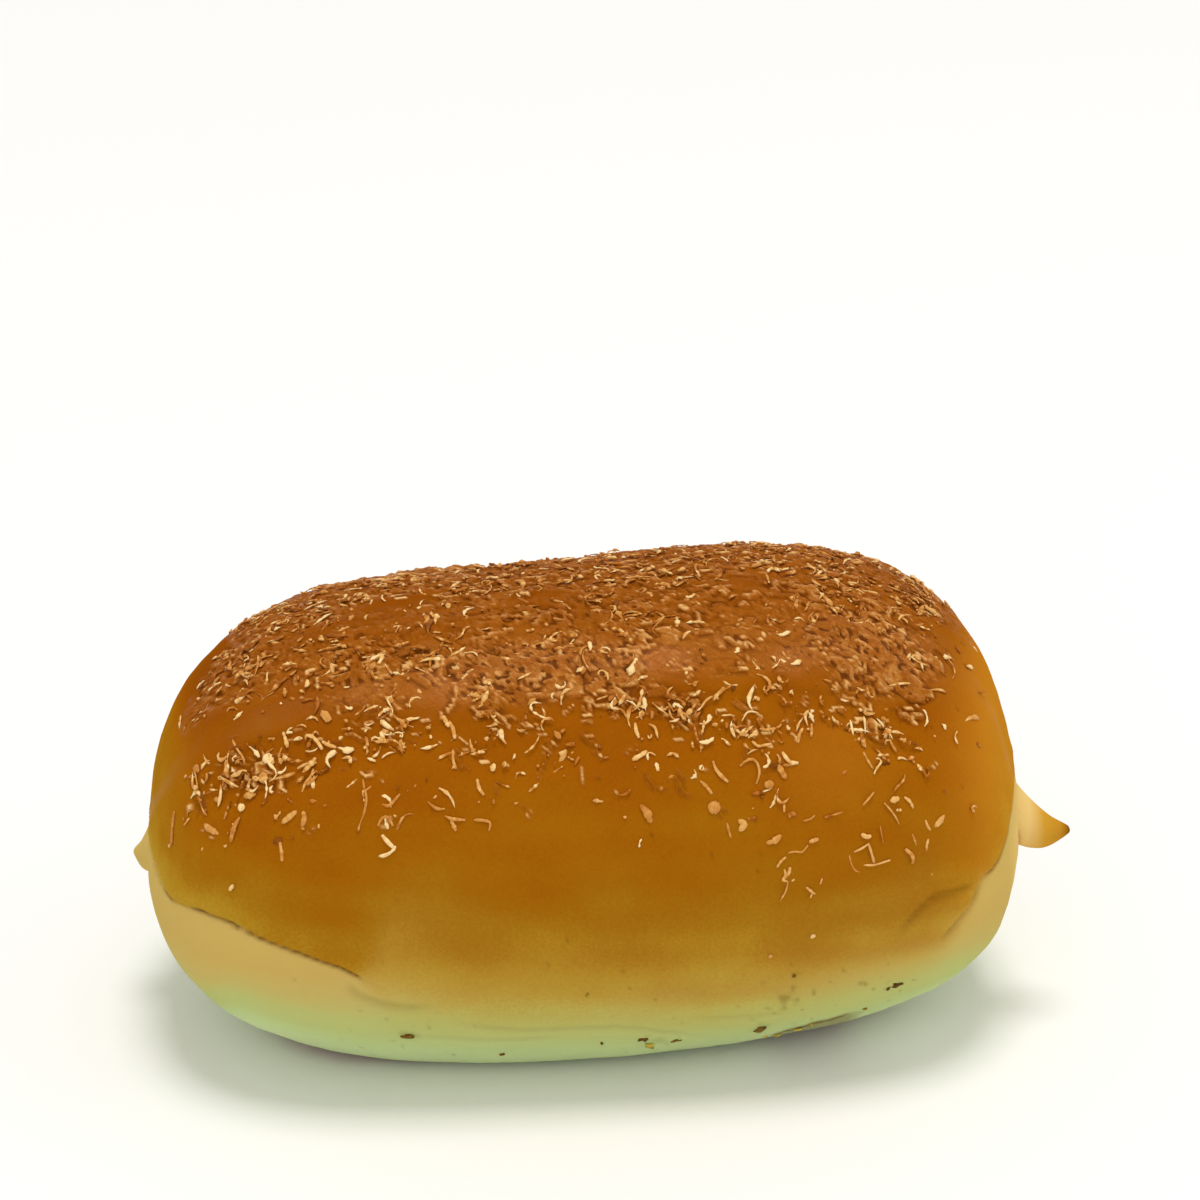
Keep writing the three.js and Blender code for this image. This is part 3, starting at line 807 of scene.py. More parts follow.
def tubePiece(style, centre, normal, width, height, twist, tone, material):
    # Tubes along paths, each path a row of centres on the crust. Each ring is
    # centre + sideways (w/2) cos f + upward (h/2) sin f, closed by a face at both ends.
    n, stations = width.shape
    sides = style["sides"]
    forward = unit(np.gradient(centre, axis=1))
    sideways = unit(np.cross(normal, forward))
    upward = unit(np.cross(forward, sideways))
    turn = (np.arange(sides) / sides * 2 * np.pi)[None, None, :] + twist[..., None]
    ring = sideways[:, :, None] * (np.cos(turn) * width[..., None] / 2)[..., None]
    ring = ring + upward[:, :, None] * (np.sin(turn) * height[..., None] / 2)[..., None]
    points = (centre[:, :, None] + ring).reshape(-1, 3) - np.array([middleX, 0, 0])
    rings = np.arange(n * stations * sides).reshape(n, stations, sides)
    nextSide = np.roll(rings, -1, axis=2)
    quads = np.stack([rings[:, :-1], nextSide[:, :-1], nextSide[:, 1:], rings[:, 1:]], -1).reshape(-1, 4)
    caps = np.concatenate([rings[:, 0, ::-1], rings[:, -1]])
    fields = {"tone": np.clip(np.repeat(tone, sides, axis=1).ravel(), 0, 1)}
    return makePiece(style["name"], points, [quads, caps], fields, material)


def shredPiece(style, material):
    # Drawn shreds: heading = start + bend u + kink tanh(7 (u - u0)), and the path is the
    # running sum of its steps over the crust. Some lie any way, the rest along the bun.
    random = np.random.default_rng(style["seed"])
    share, angle, cover = choosePlaces(style, random)
    n, steps = len(share), style["steps"]
    low, high = style["length"]
    length = low + (high - low) * random.beta(1.5, 3.0, n)
    bend = random.normal(0, style["bend"], n)
    kink = random.normal(0, style["kink"], n) * (random.random(n) < style["kinked"])
    kinkPlace = random.uniform(-0.3, 0.3, n)[:, None]
    u = np.linspace(-0.5, 0.5, steps + 1)[None, :]
    across = random.random(n) < style["across"]
    anyWay = random.uniform(0, 2 * np.pi, n)
    lengthwise = random.normal(0, 0.5, n) + np.pi * (random.random(n) < 0.5)
    start = np.where(across, anyWay, lengthwise)
    heading = start[:, None] + bend[:, None] * u + kink[:, None] * np.tanh(7 * (u - kinkPlace))
    middle = (heading[:, 1:] + heading[:, :-1]) / 2
    part = (length / steps)[:, None]
    a = np.concatenate([np.zeros((n, 1)), np.cumsum(np.cos(middle) * part, 1)], 1)
    b = np.concatenate([np.zeros((n, 1)), np.cumsum(np.sin(middle) * part, 1)], 1)
    a, b = a - a.mean(1, keepdims=True), b - b.mean(1, keepdims=True)
    point, normal, _, _ = crustFrame(*layPath(share, angle, a, b))
    thin, thick = style["width"]
    width = (thin + (thick - thin) * random.random(n) ** 1.5)[:, None]
    wedge = 1 + style["wedge"] * random.uniform(-1, 1, n)[:, None] * 2 * u
    width = width * (1 - style["taper"] * np.abs(2 * u) ** 3) * wedge
    width = width * np.clip(1 + 0.32 * random.normal(size=(n, steps + 1)), 0.4, 1.7)
    height = width * random.uniform(*style["flatness"], n)[:, None]
    pile = style["pile"] * np.clip(cover, 0, 1.2) * random.random(n)
    raised = style["raised"] * random.random(n) ** 3
    tilt = random.choice([-1, 1], n)
    lift = pile[:, None] + raised[:, None] * softStep(tilt[:, None] * u, -0.1, 0.5)
    lift = lift + crustLift(share, angle)[:, None]
    lift = lift + style["arch"] * (random.random(n)[:, None]) * (1 - (2 * u) ** 2)
    centre = point + normal * (lift + height * style["bed"])[..., None]
    twist = random.uniform(-0.6, 0.6, n)[:, None] + 0 * u
    loose = softStep(np.degrees(angle) - 90, *style["lighterFrom"])
    tone = random.normal(*style["tone"], n) + style["lighter"] * loose
    tone = tone + 0.35 * (random.random(n) < style["bright"])
    tone = tone[:, None] + 0.15 * random.normal(size=(n, steps + 1))
    return tubePiece(style, centre, normal, width, height, twist, tone, material)


def laidPiece(style, material):
    # Laid flakes: each is a short path of places in the picture, cast onto the crust, evened
    # out to equal steps and rounded off by averaging neighbours; wide ones swell to a leaf,
    # thin ones stay a strand.
    random = np.random.default_rng(style["seed"])
    flakes = style["flakes"]
    n, steps = len(flakes), style["steps"]
    share, angle = castPlaces([place for _, _, path in flakes for place in path])
    ends = np.cumsum([len(path) for _, _, path in flakes])[:-1]
    paths = np.split(np.column_stack([placeAlong(share), fromTop(angle)]), ends)
    x, top = np.moveaxis(np.array([roundedLine(path, steps + 1, 1) for path in paths]), -1, 0)
    point, normal, _, _ = crustFrame(shareAt(x), np.radians(top + 90))
    full = np.array([flake[0] for flake in flakes])[:, None]
    u = np.linspace(-1, 1, steps + 1)[None, :]
    leaf = softStep(full, 0.5, 0.8)
    strand = 1 - 0.35 * np.abs(u) ** 3
    outline = (1 - leaf) * strand + leaf * np.sqrt(np.maximum(0.06, 1 - 0.94 * u**2))
    width = full * outline * np.clip(1 + 0.12 * random.normal(size=(n, steps + 1)), 0.7, 1.3)
    height = np.minimum(width * 0.75, 0.2 + 0.14 * width)
    lift = style["arch"] * random.random(n)[:, None] * (1 - u**2) + height * style["bed"]
    lift = lift + crustLift(shareAt(x), np.radians(top + 90))
    centre = point + normal * lift[..., None]
    twist = random.uniform(-0.3, 0.3, n)[:, None] + 0 * u
    tone = np.array([flake[1] for flake in flakes])[:, None]
    tone = tone * style["toneGain"] + 0.07 * random.normal(size=(n, steps + 1))
    return tubePiece(style, centre, normal, width, height, twist, tone, material)


def roughBalls(style, random, places, sizes, lift, tone, material):
    # Rough balls laid on the crust: rings of radius 1 + roughness n from pole to pole,
    # pressed to length, width and thickness, bent by curl x^2, and turned by a random
    # heading and a small tilt.
    share, angle = places
    length, width, thickness = [size[:, None, None] for size in sizes]
    n, rings, sides = len(share), style["rings"], style["sides"]
    latitude = np.linspace(-np.pi / 2, np.pi / 2, rings + 2)
    turn = np.arange(sides) / sides * 2 * np.pi
    outline = 1 + style["roughness"] * random.normal(size=(n, 1, sides))
    bump = 1 + style["roughness"] * 0.5 * random.normal(size=(n, rings + 2, sides))
    radius = outline * bump * (np.cos(latitude) ** style["edge"])[None, :, None]
    local = np.stack([
        radius * np.cos(turn) * length / 2,
        radius * np.sin(turn) * width / 2,
        np.sin(latitude)[None, :, None] * thickness / 2 + np.zeros((n, 1, sides)),
    ], -1)
    curl = style["curl"] * random.normal(size=n)[:, None, None]
    local[..., 2] += curl * local[..., 0] ** 2 / length
    point, normal, along, around = crustFrame(share, angle)
    heading = random.uniform(0, 2 * np.pi, n)[:, None]
    forward = unit(unit(along) * np.cos(heading) + unit(around) * np.sin(heading))
    sideways = unit(np.cross(normal, forward))
    tilt = sideways * random.normal(size=(n, 1)) + forward * random.normal(size=(n, 1))
    upward = unit(normal + style["tilt"] * tilt)
    forward = unit(np.cross(sideways, upward))
    sideways = np.cross(upward, forward)
    centre = point + normal * lift[:, None]
    world = centre[:, None, None] + local[..., :1] * forward[:, None, None]
    world = world + local[..., 1:2] * sideways[:, None, None] + local[..., 2:] * upward[:, None, None]
    body = world[:, 1:-1].reshape(n, rings * sides, 3)
    ends = [world[:, row].mean(1, keepdims=True) for row in (0, -1)]
    points = np.concatenate([body, *ends], 1).reshape(-1, 3) - np.array([middleX, 0, 0])
    each = rings * sides + 2
    first = (np.arange(n) * each)[:, None, None]
    index = first + np.arange(rings * sides).reshape(1, rings, sides)
    nextSide = np.roll(index, -1, axis=2)
    quads = np.stack([index[:, :-1], nextSide[:, :-1], nextSide[:, 1:], index[:, 1:]], -1).reshape(-1, 4)
    low, high = first[..., 0] + rings * sides, first[..., 0] + rings * sides + 1
    lowFan = np.stack([low + np.zeros_like(index[:, 0]), nextSide[:, 0], index[:, 0]], -1)
    highFan = np.stack([high + np.zeros_like(index[:, 0]), index[:, -1], nextSide[:, -1]], -1)
    fans = np.concatenate([lowFan, highFan]).reshape(-1, 3)
    tone = np.clip(tone[:, None] + 0.06 * random.normal(size=(n, each)), 0, 1)
    return makePiece(style["name"], points, [quads, fans], {"tone": tone.ravel()}, material)


def lumpPiece(style, material):
    # Drawn lumps: rough balls whose width and thickness are random shares of their length.
    random = np.random.default_rng(style["seed"])
    share, angle, cover = choosePlaces(style, random)
    n = len(share)
    low, high = style["length"]
    length = low + (high - low) * random.beta(1.4, 3.2, n)
    width = length * random.uniform(*style["narrowness"], n)
    thickness = np.minimum(length * random.uniform(*style["thickness"], n), 0.6)
    lift = style["pile"] * np.clip(cover, 0, 1.2) * random.random(n)
    lift = lift + thickness * style["bed"] + crustLift(share, angle)
    tone = np.clip(random.normal(*style["tone"], n), 0, 1)
    sizes = (length, width, thickness)
    return roughBalls(style, random, (share, angle), sizes, lift, tone, material)


# Materials. Colours are sRGB hex, as seen on the bun.

def linear(hexColour):
    # sRGB hex to linear: c/12.92 below 0.04045, else ((c + 0.055)/1.055)^2.4.
    channels = [int(hexColour[i:i + 2], 16) / 255 for i in (1, 3, 5)]
    return [c / 12.92 if c <= 0.04045 else ((c + 0.055) / 1.055) ** 2.4 for c in channels] + [1]


def newMaterial(name):
    # An otherwise empty material with its shader joined to its output.
    material = bpy.data.materials.new(name)
    material.use_nodes = True
    tree = material.node_tree
    tree.nodes.clear()
    output = tree.nodes.new("ShaderNodeOutputMaterial")
    shader = tree.nodes.new("ShaderNodeBsdfPrincipled")
    tree.links.new(shader.outputs["BSDF"], output.inputs["Surface"])
    return material, tree, shader


def setInputs(tree, node, inputs):
    # Links the sockets, turns hex colours to linear, and sets the rest as plain values.
    for name, value in inputs.items():
        if isinstance(value, bpy.types.NodeSocket):
            tree.links.new(value, node.inputs[name])
        else:
            node.inputs[name].default_value = linear(value) if isinstance(value, str) else value


def addNode(tree, kind, inputs=None, settings=None, stops=(), output=0):
    # Adds a node with its settings, inputs and colour stops, and hands back one output.
    node = tree.nodes.new("ShaderNode" + kind)
    for name, value in (settings or {}).items():
        setattr(node, name, value)
    setInputs(tree, node, inputs or {})
    for number, (place, colour) in enumerate(stops):
        elements = node.color_ramp.elements
        if number == 0:
            elements.remove(elements[1])
        element = elements.new(place) if number else elements[0]
        element.position, element.color = place, linear(colour)
    return node.outputs[output]


multiply = {"operation": "MULTIPLY"}
multiplyAdd = {"operation": "MULTIPLY_ADD"}
subtract = {"operation": "SUBTRACT"}
mixing = {"data_type": "RGBA", "clamp_factor": True}  # inputs 0, 6 and 7: share, first, second

crustColours = {
    # by browning: 0 barely coloured, 1 the darkest top
    "browning": [
        (0.0, "#bebc70"), (0.14, "#b7ad58"), (0.2, "#b7a64a"), (0.28, "#b4902d"), (0.36, "#ae821f"),
        (0.43, "#a67315"), (0.52, "#a1670c"), (0.6, "#a06008"), (0.7, "#9b5606"), (0.85, "#914c06"),
        (1.0, "#8a4607"),
    ],
    # by depth below the skin's edge: tan, straw, and near the table a green cast that is painted
    # reflected light
    "dough": [
        (0.0, "#cdad5f"), (0.14, "#c8a95c"), (0.3, "#c0ae64"), (0.47, "#b7b96f"), (0.66, "#b6be77"),
        (0.82, "#bbcb8a"), (1.0, "#cad9a2"),
    ],
    "base": [(0.0, "#b3803a"), (0.5, "#9c6424"), (1.0, "#7d4a16")],
    # by nearness to the right point's end
    "tip": [(0.0, "#d8b468"), (0.3, "#dfba6e"), (0.53, "#e2be74"), (0.63, "#d6aa58"), (0.71, "#c9952f"),
            (0.875, "#bb8424"), (0.944, "#9c640d"), (0.975, "#6b4310"), (1.0, "#2e1c08")],
    # one dark brown for the burnt line and stains, the skin's sharp edge, the painted shade in the folds
    # and the painted shadow below the burnt line
    "scorchAndShade": "#633409",
    # flakes baked in, from the darkest to the lightest; then the painted shade in the crevices between
    # them and the painted highlight on their ridges
    "pressed": [
        (0.0, "#84460a"), (0.3, "#9c5611"), (0.52, "#b16b26"), (0.75, "#c98a42"), (1.0, "#ebc07e"),
    ],
    "creviceShade": "#643007",
    "ridgeHighlight": "#f0c27c",
    "glazedRidgeHighlight": "#d59a5a",
    "ember": "#c98221",   # the more orange crust of the ends
    "glazeTint": "#ffab6e",  # the egg glaze is itself amber
    # size in mm, detail, roughness and distortion of blotches, grain and wrinkles
    "unevenness": [(5.0, 4.0, 0.6, 0.0), (0.36, 2.0, 0.5, 0.0), (0.9, 3.0, 0.6, 1.2)],
    "emberShare": 0.62,
    "pressedShare": 0.7,
    "roughness": (0.62, 0.4),  # of the bare dough and of the glazed skin
    "glossGain": 0.42,
    "rimGloss": 1.6,
    "subsurface": {
        "Subsurface Weight": 0.12, "Subsurface Radius": (1.0, 0.45, 0.15), "Subsurface Scale": 1.4 * mm,
    },
}


def crustMaterial():
    # Baked egg-washed bread crust: a thin glaze over soft dough gives a broad satin sheen
    # on the top, and the unglazed pale dough near the base stays matt.
    material, tree, shader = newMaterial("Egg-washed bread crust")
    place = addNode(tree, "TexCoord", output="Object")
    fields = {
        name: addNode(tree, "Attribute", settings={"attribute_name": name}, output="Fac")
        for name in ("browning", "skin", "depth", "scorchAndShade", "base", "tip", "glazed", "gloss", "ember",
                     "tone", "pressed", "hollowShade", "rim")
    }
    blotch, grain, wrinkle = [
        addNode(tree, "TexNoise", {"Vector": place, "Scale": 1 / (size * mm), "Detail": detail,
                                   "Roughness": roughness, "Distortion": distortion})
        for size, detail, roughness, distortion in crustColours["unevenness"]
    ]
    # Each unevenness lies about 0.5, so half its gain is taken off again.
    uneven = addNode(tree, "Math", {0: blotch, 1: 0.12, 2: fields["browning"]}, multiplyAdd)
    uneven = addNode(tree, "Math", {0: grain, 1: 0.16, 2: uneven}, multiplyAdd)
    uneven = addNode(tree, "Math", {0: uneven, 1: 0.14}, subtract)
    grainy = addNode(tree, "Math", {0: grain, 1: 0.5, 2: fields["tone"]}, multiplyAdd)
    grainy = addNode(tree, "Math", {0: grainy, 1: 0.25}, subtract)
    ramps = {
        name: addNode(tree, "ValToRGB", {"Fac": share}, stops=crustColours[name])
        for name, share in (("browning", uneven), ("pressed", grainy), ("dough", fields["depth"]),
                            ("base", blotch), ("tip", fields["tip"]))
    }
    warmed = addNode(tree, "Math", {0: fields["ember"], 1: crustColours["emberShare"]}, multiply)
    covered = addNode(tree, "Math", {0: fields["pressed"], 1: crustColours["pressedShare"]}, multiply)
    # Painted shade darkens the crevices between flakes; a painted highlight lightens their ridges.
    creviceShadeShare, ridgeHighlight, lightOnes = [
        addNode(tree, "MapRange", {"Value": value, "From Min": low, "From Max": high, "To Max": most})
        for value, low, high, most in (
            (fields["hollowShade"], 0.01, 0.11, 0.85), (fields["rim"], 0.02, 0.08, 0.9),
            (grainy, 0.38, 0.74, 1.0),
        )
    ]
    ridgeHighlight = addNode(tree, "Math", {0: ridgeHighlight, 1: lightOnes}, multiply)
    ridgeHighlightColours = {0: fields["glazed"], 6: crustColours["ridgeHighlight"], 7: crustColours["glazedRidgeHighlight"]}
    ridgeHighlightColour = addNode(tree, "Mix", ridgeHighlightColours, mixing, output=2)
    tipShare = addNode(tree, "MapRange", {"Value": fields["tip"], "From Min": 0.1, "From Max": 0.5},
                       {"interpolation_type": "SMOOTHSTEP"})
    pale = addNode(tree, "Mix", {0: tipShare, 6: ramps["dough"], 7: ramps["tip"]}, mixing, output=2)
    colour = ramps["browning"]
    for share, layer in ((warmed, crustColours["ember"]), (covered, ramps["pressed"]),
                         (creviceShadeShare, crustColours["creviceShade"]), (ridgeHighlight, ridgeHighlightColour)):
        colour = addNode(tree, "Mix", {0: share, 6: colour, 7: layer}, mixing, output=2)
    colour = addNode(tree, "Mix", {0: fields["skin"], 6: pale, 7: colour}, mixing, output=2)
    for share, layer in ((fields["base"], ramps["base"]), (fields["scorchAndShade"], crustColours["scorchAndShade"])):
        colour = addNode(tree, "Mix", {0: share, 6: colour, 7: layer}, mixing, output=2)
    bare, glossy = crustColours["roughness"]
    rough = addNode(tree, "MapRange", {"Value": fields["skin"], "To Min": bare, "To Max": glossy})
    rough = addNode(tree, "Math", {0: blotch, 1: 0.14, 2: rough}, multiplyAdd)
    rough = addNode(tree, "Math", {0: rough, 1: 0.07}, subtract)
    wrinkled = addNode(tree, "Math", {0: wrinkle, 1: fields["pressed"]}, multiply)
    bump = addNode(tree, "Bump", {"Strength": 0.5, "Distance": 0.12 * mm, "Height": grain})
    bump = addNode(tree, "Bump",
                   {"Strength": 0.8, "Distance": 0.35 * mm, "Height": wrinkled, "Normal": bump})
    shine = addNode(tree, "Math", {0: fields["gloss"], 1: crustColours["glossGain"]}, multiply)
    shine = addNode(tree, "Math", {0: fields["rim"], 1: crustColours["rimGloss"], 2: shine}, multiplyAdd)
    setInputs(tree, shader, {
        "Base Color": colour, "Roughness": rough, "Normal": bump, "Specular IOR Level": shine,
        "Specular Tint": crustColours["glazeTint"], **crustColours["subsurface"],
    })
    return material


flakeColours = {
    "toasted": [
        (0.0, "#6b3a0c"), (0.25, "#985416"), (0.45, "#b87028"), (0.65, "#d2944a"), (0.85, "#e9b86e"),
        (1.0, "#f7d79a"),
    ],
    "speck": [(0.0, "#2e1a06"), (0.4, "#5c4010"), (0.7, "#8c7020"), (1.0, "#cdb544")],
}


def flakeMaterial(name, stops, roughness, grainSize, bumpDepth):
    # Toasted shreds and crumbs: dry, fibrous, slightly waxy, so straw to brown with small
    # broken highlights.
    material, tree, shader = newMaterial(name)
    place = addNode(tree, "TexCoord", output="Object")
    tone = addNode(tree, "Attribute", settings={"attribute_name": "tone"}, output="Fac")
    grain = addNode(tree, "TexNoise",
                    {"Vector": place, "Scale": 1 / (grainSize * mm), "Detail": 3.0, "Roughness": 0.6})
    uneven = addNode(tree, "Math", {0: grain, 1: 0.3, 2: tone}, multiplyAdd)
    uneven = addNode(tree, "Math", {0: uneven, 1: 0.15}, subtract)
    setInputs(tree, shader, {
        "Base Color": addNode(tree, "ValToRGB", {"Fac": uneven}, stops=stops),
        "Normal": addNode(tree, "Bump", {"Strength": 0.6, "Distance": bumpDepth * mm, "Height": grain}),
        "Roughness": roughness, "Specular IOR Level": 0.15, "Specular Tint": crustColours["glazeTint"],
    })
    return material


# Camera, light and floor

view = {
    "distance": 420.0,
    "azimuth": -6.5,
    "elevation": 25.0,
    "aimRight": 2.6,      # how far the middle of the picture lies right of the bun's centre
    "aimUp": 23.5,        # and above it
    "pictureWidth": 154.2,  # width of the picture at the bun, in mm
    "pixels": 1200,         # and in pixels
}


def cameraFrame():
    # The camera's place and what it aims at, in mm. It stands off the bun's middle by the
    # distance along its azimuth and elevation, and its aim lies right and up of that middle.
    a, e = math.radians(view["azimuth"]), math.radians(view["elevation"])
    back = np.array([math.sin(a) * math.cos(e), -math.cos(a) * math.cos(e), math.sin(e)])
    right = np.array([math.cos(a), math.sin(a), 0])
    centre = np.array([-middleX, 0, dough["height"] / 2])
    aim = centre + right * view["aimRight"] + np.cross(back, right) * view["aimUp"]
    return centre + back * view["distance"], aim


def picturePlace(share, angle):
    # Where a point of the crust lies in the picture, in pixels across and down: with q the
    # way to it from the camera, across = half + k q.right / q.ahead and
    # down = half - k q.up / q.ahead, k = pixels x distance / pictureWidth.
    place, aim = cameraFrame()
    ahead = unit(aim - place)
    right = unit(np.cross(ahead, [0, 0, 1]))
    q = crustPoint(share, angle) - np.array([middleX, 0, 0]) - place
    k = view["pixels"] * view["distance"] / view["pictureWidth"] / (q @ ahead)
    half = view["pixels"] / 2
    return np.stack([half + k * (q @ right), half - k * (q @ np.cross(right, ahead))], -1)


def castPlaces(places):
    # The points of the crust seen at places in the picture, as share and angle. The nearest
    # point of a grid that faces the camera is moved onto the place by Newton's steps.
    places = np.array(places, float)
    around = np.radians(90 + np.linspace(-60, 160, 300))
    grid = np.meshgrid(np.linspace(0.01, 0.99, 260), around, indexing="ij")
    share, angle = [values.ravel() for values in grid]
    point, normal, _, _ = crustFrame(share, angle)
    toCamera = cameraFrame()[0] + np.array([middleX, 0, 0]) - point
    facing = (normal * toCamera).sum(-1) > 0
    share, angle = share[facing], angle[facing]
    seen = picturePlace(share, angle)
    nearest = [int(((seen - place) ** 2).sum(1).argmin()) for place in places]
    share, angle = share[nearest], angle[nearest]
    small = 1e-4
    for _ in range(5):
        here = picturePlace(share, angle)
        byShare = (picturePlace(share + small, angle) - here) / small
        byAngle = (picturePlace(share, angle + small) - here) / small
        miss = places - here
        area = byShare[:, 0] * byAngle[:, 1] - byShare[:, 1] * byAngle[:, 0]
        moveShare = (miss[:, 0] * byAngle[:, 1] - miss[:, 1] * byAngle[:, 0]) / area
        moveAngle = (byShare[:, 0] * miss[:, 1] - byShare[:, 1] * miss[:, 0]) / area
        share = share + np.clip(moveShare, -0.004, 0.004)
        angle = angle + np.clip(moveAngle, -0.015, 0.015)
    miss = np.linalg.norm(places - picturePlace(share, angle), axis=1).max()
    print(f"{len(places)} places cast onto the crust, within {miss:.2f} pixels")
    return share, angle


def aimAt(piece, place, target):  # puts it at the place with its -Z towards the target
    piece.location = place
    piece.rotation_mode = "QUATERNION"
    piece.rotation_quaternion = (Vector(target) - Vector(place)).to_track_quat("-Z", "Y")


def makeCamera():
    # Focal length = sensor width x distance / picture width.
    camera = addObject("camera", bpy.data.cameras.new("camera"))
    place, aim = cameraFrame()
    aimAt(camera, Vector(place) * mm, Vector(aim) * mm)
    camera.data.sensor_width = 36
    camera.data.lens = camera.data.sensor_width * view["distance"] / view["pictureWidth"]
    camera.data.clip_start = 0.01
    bpy.context.scene.camera = camera


lighting = {
    "sunHeading": (0.05, 0.05, 1.0),   # towards a broad soft light almost overhead
    "sunSpread": 22,                   # degrees across
    "sunPower": 1.45,
    "sunColour": "#fffdfa",
    # name: place in m, size in m, power in W, colour
    "lamps": {
        "front": ((-0.3, -0.75, 0.45), 0.6, 1.3, "#fffdf8"),
        "right": ((0.7, -0.1, 0.35), 0.4, 0.6, "#fffdf8"),
    },
    "lampTarget": (0, 0, 0.03),
    "world": 0.62,  # strength of the even light from all round
}


def makeLight():
    # One broad sun overhead, two soft lamps, and an even white world.
    sun = addObject("sun", bpy.data.lights.new("sun", "SUN"))
    aimAt(sun, lighting["sunHeading"], (0, 0, 0))
    sun.data.angle = math.radians(lighting["sunSpread"])
    sun.data.energy = lighting["sunPower"]
    sun.data.color = linear(lighting["sunColour"])[:3]
    for name, (place, size, power, colour) in lighting["lamps"].items():
        lamp = addObject(name, bpy.data.lights.new(name, "AREA"))
        aimAt(lamp, place, lighting["lampTarget"])
        lamp.data.size = size
        lamp.data.energy = power
        lamp.data.color = linear(colour)[:3]
    world = bpy.data.worlds.new("studio")
    world.use_nodes = True
    background = world.node_tree.nodes["Background"]
    background.inputs["Color"].default_value = (1, 1, 1, 1)
    background.inputs["Strength"].default_value = lighting["world"]
    bpy.context.scene.world = world
    bpy.context.scene.view_settings.view_transform = "Standard"


floorBoard = {"half": 6.0, "below": 0.0002, "colour": "#f4f4f2", "roughness": 0.7}  # in metres


def makeFloor():
    # Smooth white painted board: even, matt and pale.
    material, tree, shader = newMaterial("White painted board")
    setInputs(tree, shader, {"Base Color": floorBoard["colour"], "Roughness": floorBoard["roughness"]})
    half = floorBoard["half"]
    mesh = bpy.data.meshes.new("floor")
    corners = [(-half, -half), (half, -half), (half, half), (-half, half)]
    mesh.from_pydata([(x, y, -floorBoard["below"]) for x, y in corners], [], [(0, 1, 2, 3)])
    mesh.materials.append(material)
    addObject("floor", mesh)


makeCamera()
makeLight()
makeFloor()
print("camera, light and floor made")

buildBun(crustMaterial())

toasted = flakeMaterial("Toasted flakes", flakeColours["toasted"], 0.42, 0.5, 0.08)

toastedShreds = {
    "name": "toastedShreds", "seed": 21, "count": 620, "tries": 160000, "peak": 2.0, "tangle": 8.0,
    "coverPower": 1.4, "steps": 5, "sides": 4, "length": (0.6, 2.4), "width": (0.22, 0.5),
    "flatness": (0.4, 0.7), "across": 0.6, "bend": 0.8, "kink": 0.5, "kinked": 0.4, "taper": 0.6,
    "wedge": 0.6, "pile": 0.12, "raised": 0.15, "arch": 0.06, "bed": 0.1, "tone": (0.46, 0.18),
    "bright": 0.22, "lighter": 0.1, "lighterFrom": (20, 45),
}
strawShreds = {
    "name": "strawShreds", "seed": 24, "count": 620, "tries": 160000, "peak": 2.6, "tangle": 7.0,
    "coverPower": 0.7, "steps": 6, "sides": 5, "length": (0.9, 4.4), "width": (0.28, 0.66),
    "flatness": (0.4, 0.7), "across": 0.9, "bend": 0.9, "kink": 0.7, "kinked": 0.45, "taper": 0.65,
    "wedge": 0.7, "pile": 0.2, "raised": 0.25, "arch": 0.12, "bed": 0.2, "tone": (0.5, 0.17),
    "bright": 0.3, "lighter": 0.17, "lighterFrom": (20, 45),
}
curledShreds = {
    "name": "curledShreds", "seed": 27, "count": 210, "tries": 60000, "peak": 3.4, "tangle": 9.0,
    "coverPower": 0.6, "steps": 9, "sides": 5, "length": (1.6, 4.6), "width": (0.24, 0.42),
    "flatness": (0.5, 0.8), "across": 1.0, "bend": 2.0, "kink": 1.0, "kinked": 0.6, "taper": 0.6,
    "wedge": 0.4, "pile": 0.4, "raised": 0.5, "arch": 0.2, "bed": 0.3, "tone": (0.52, 0.15),
    "bright": 0.25, "lighter": 0.12, "lighterFrom": (20, 45),
}
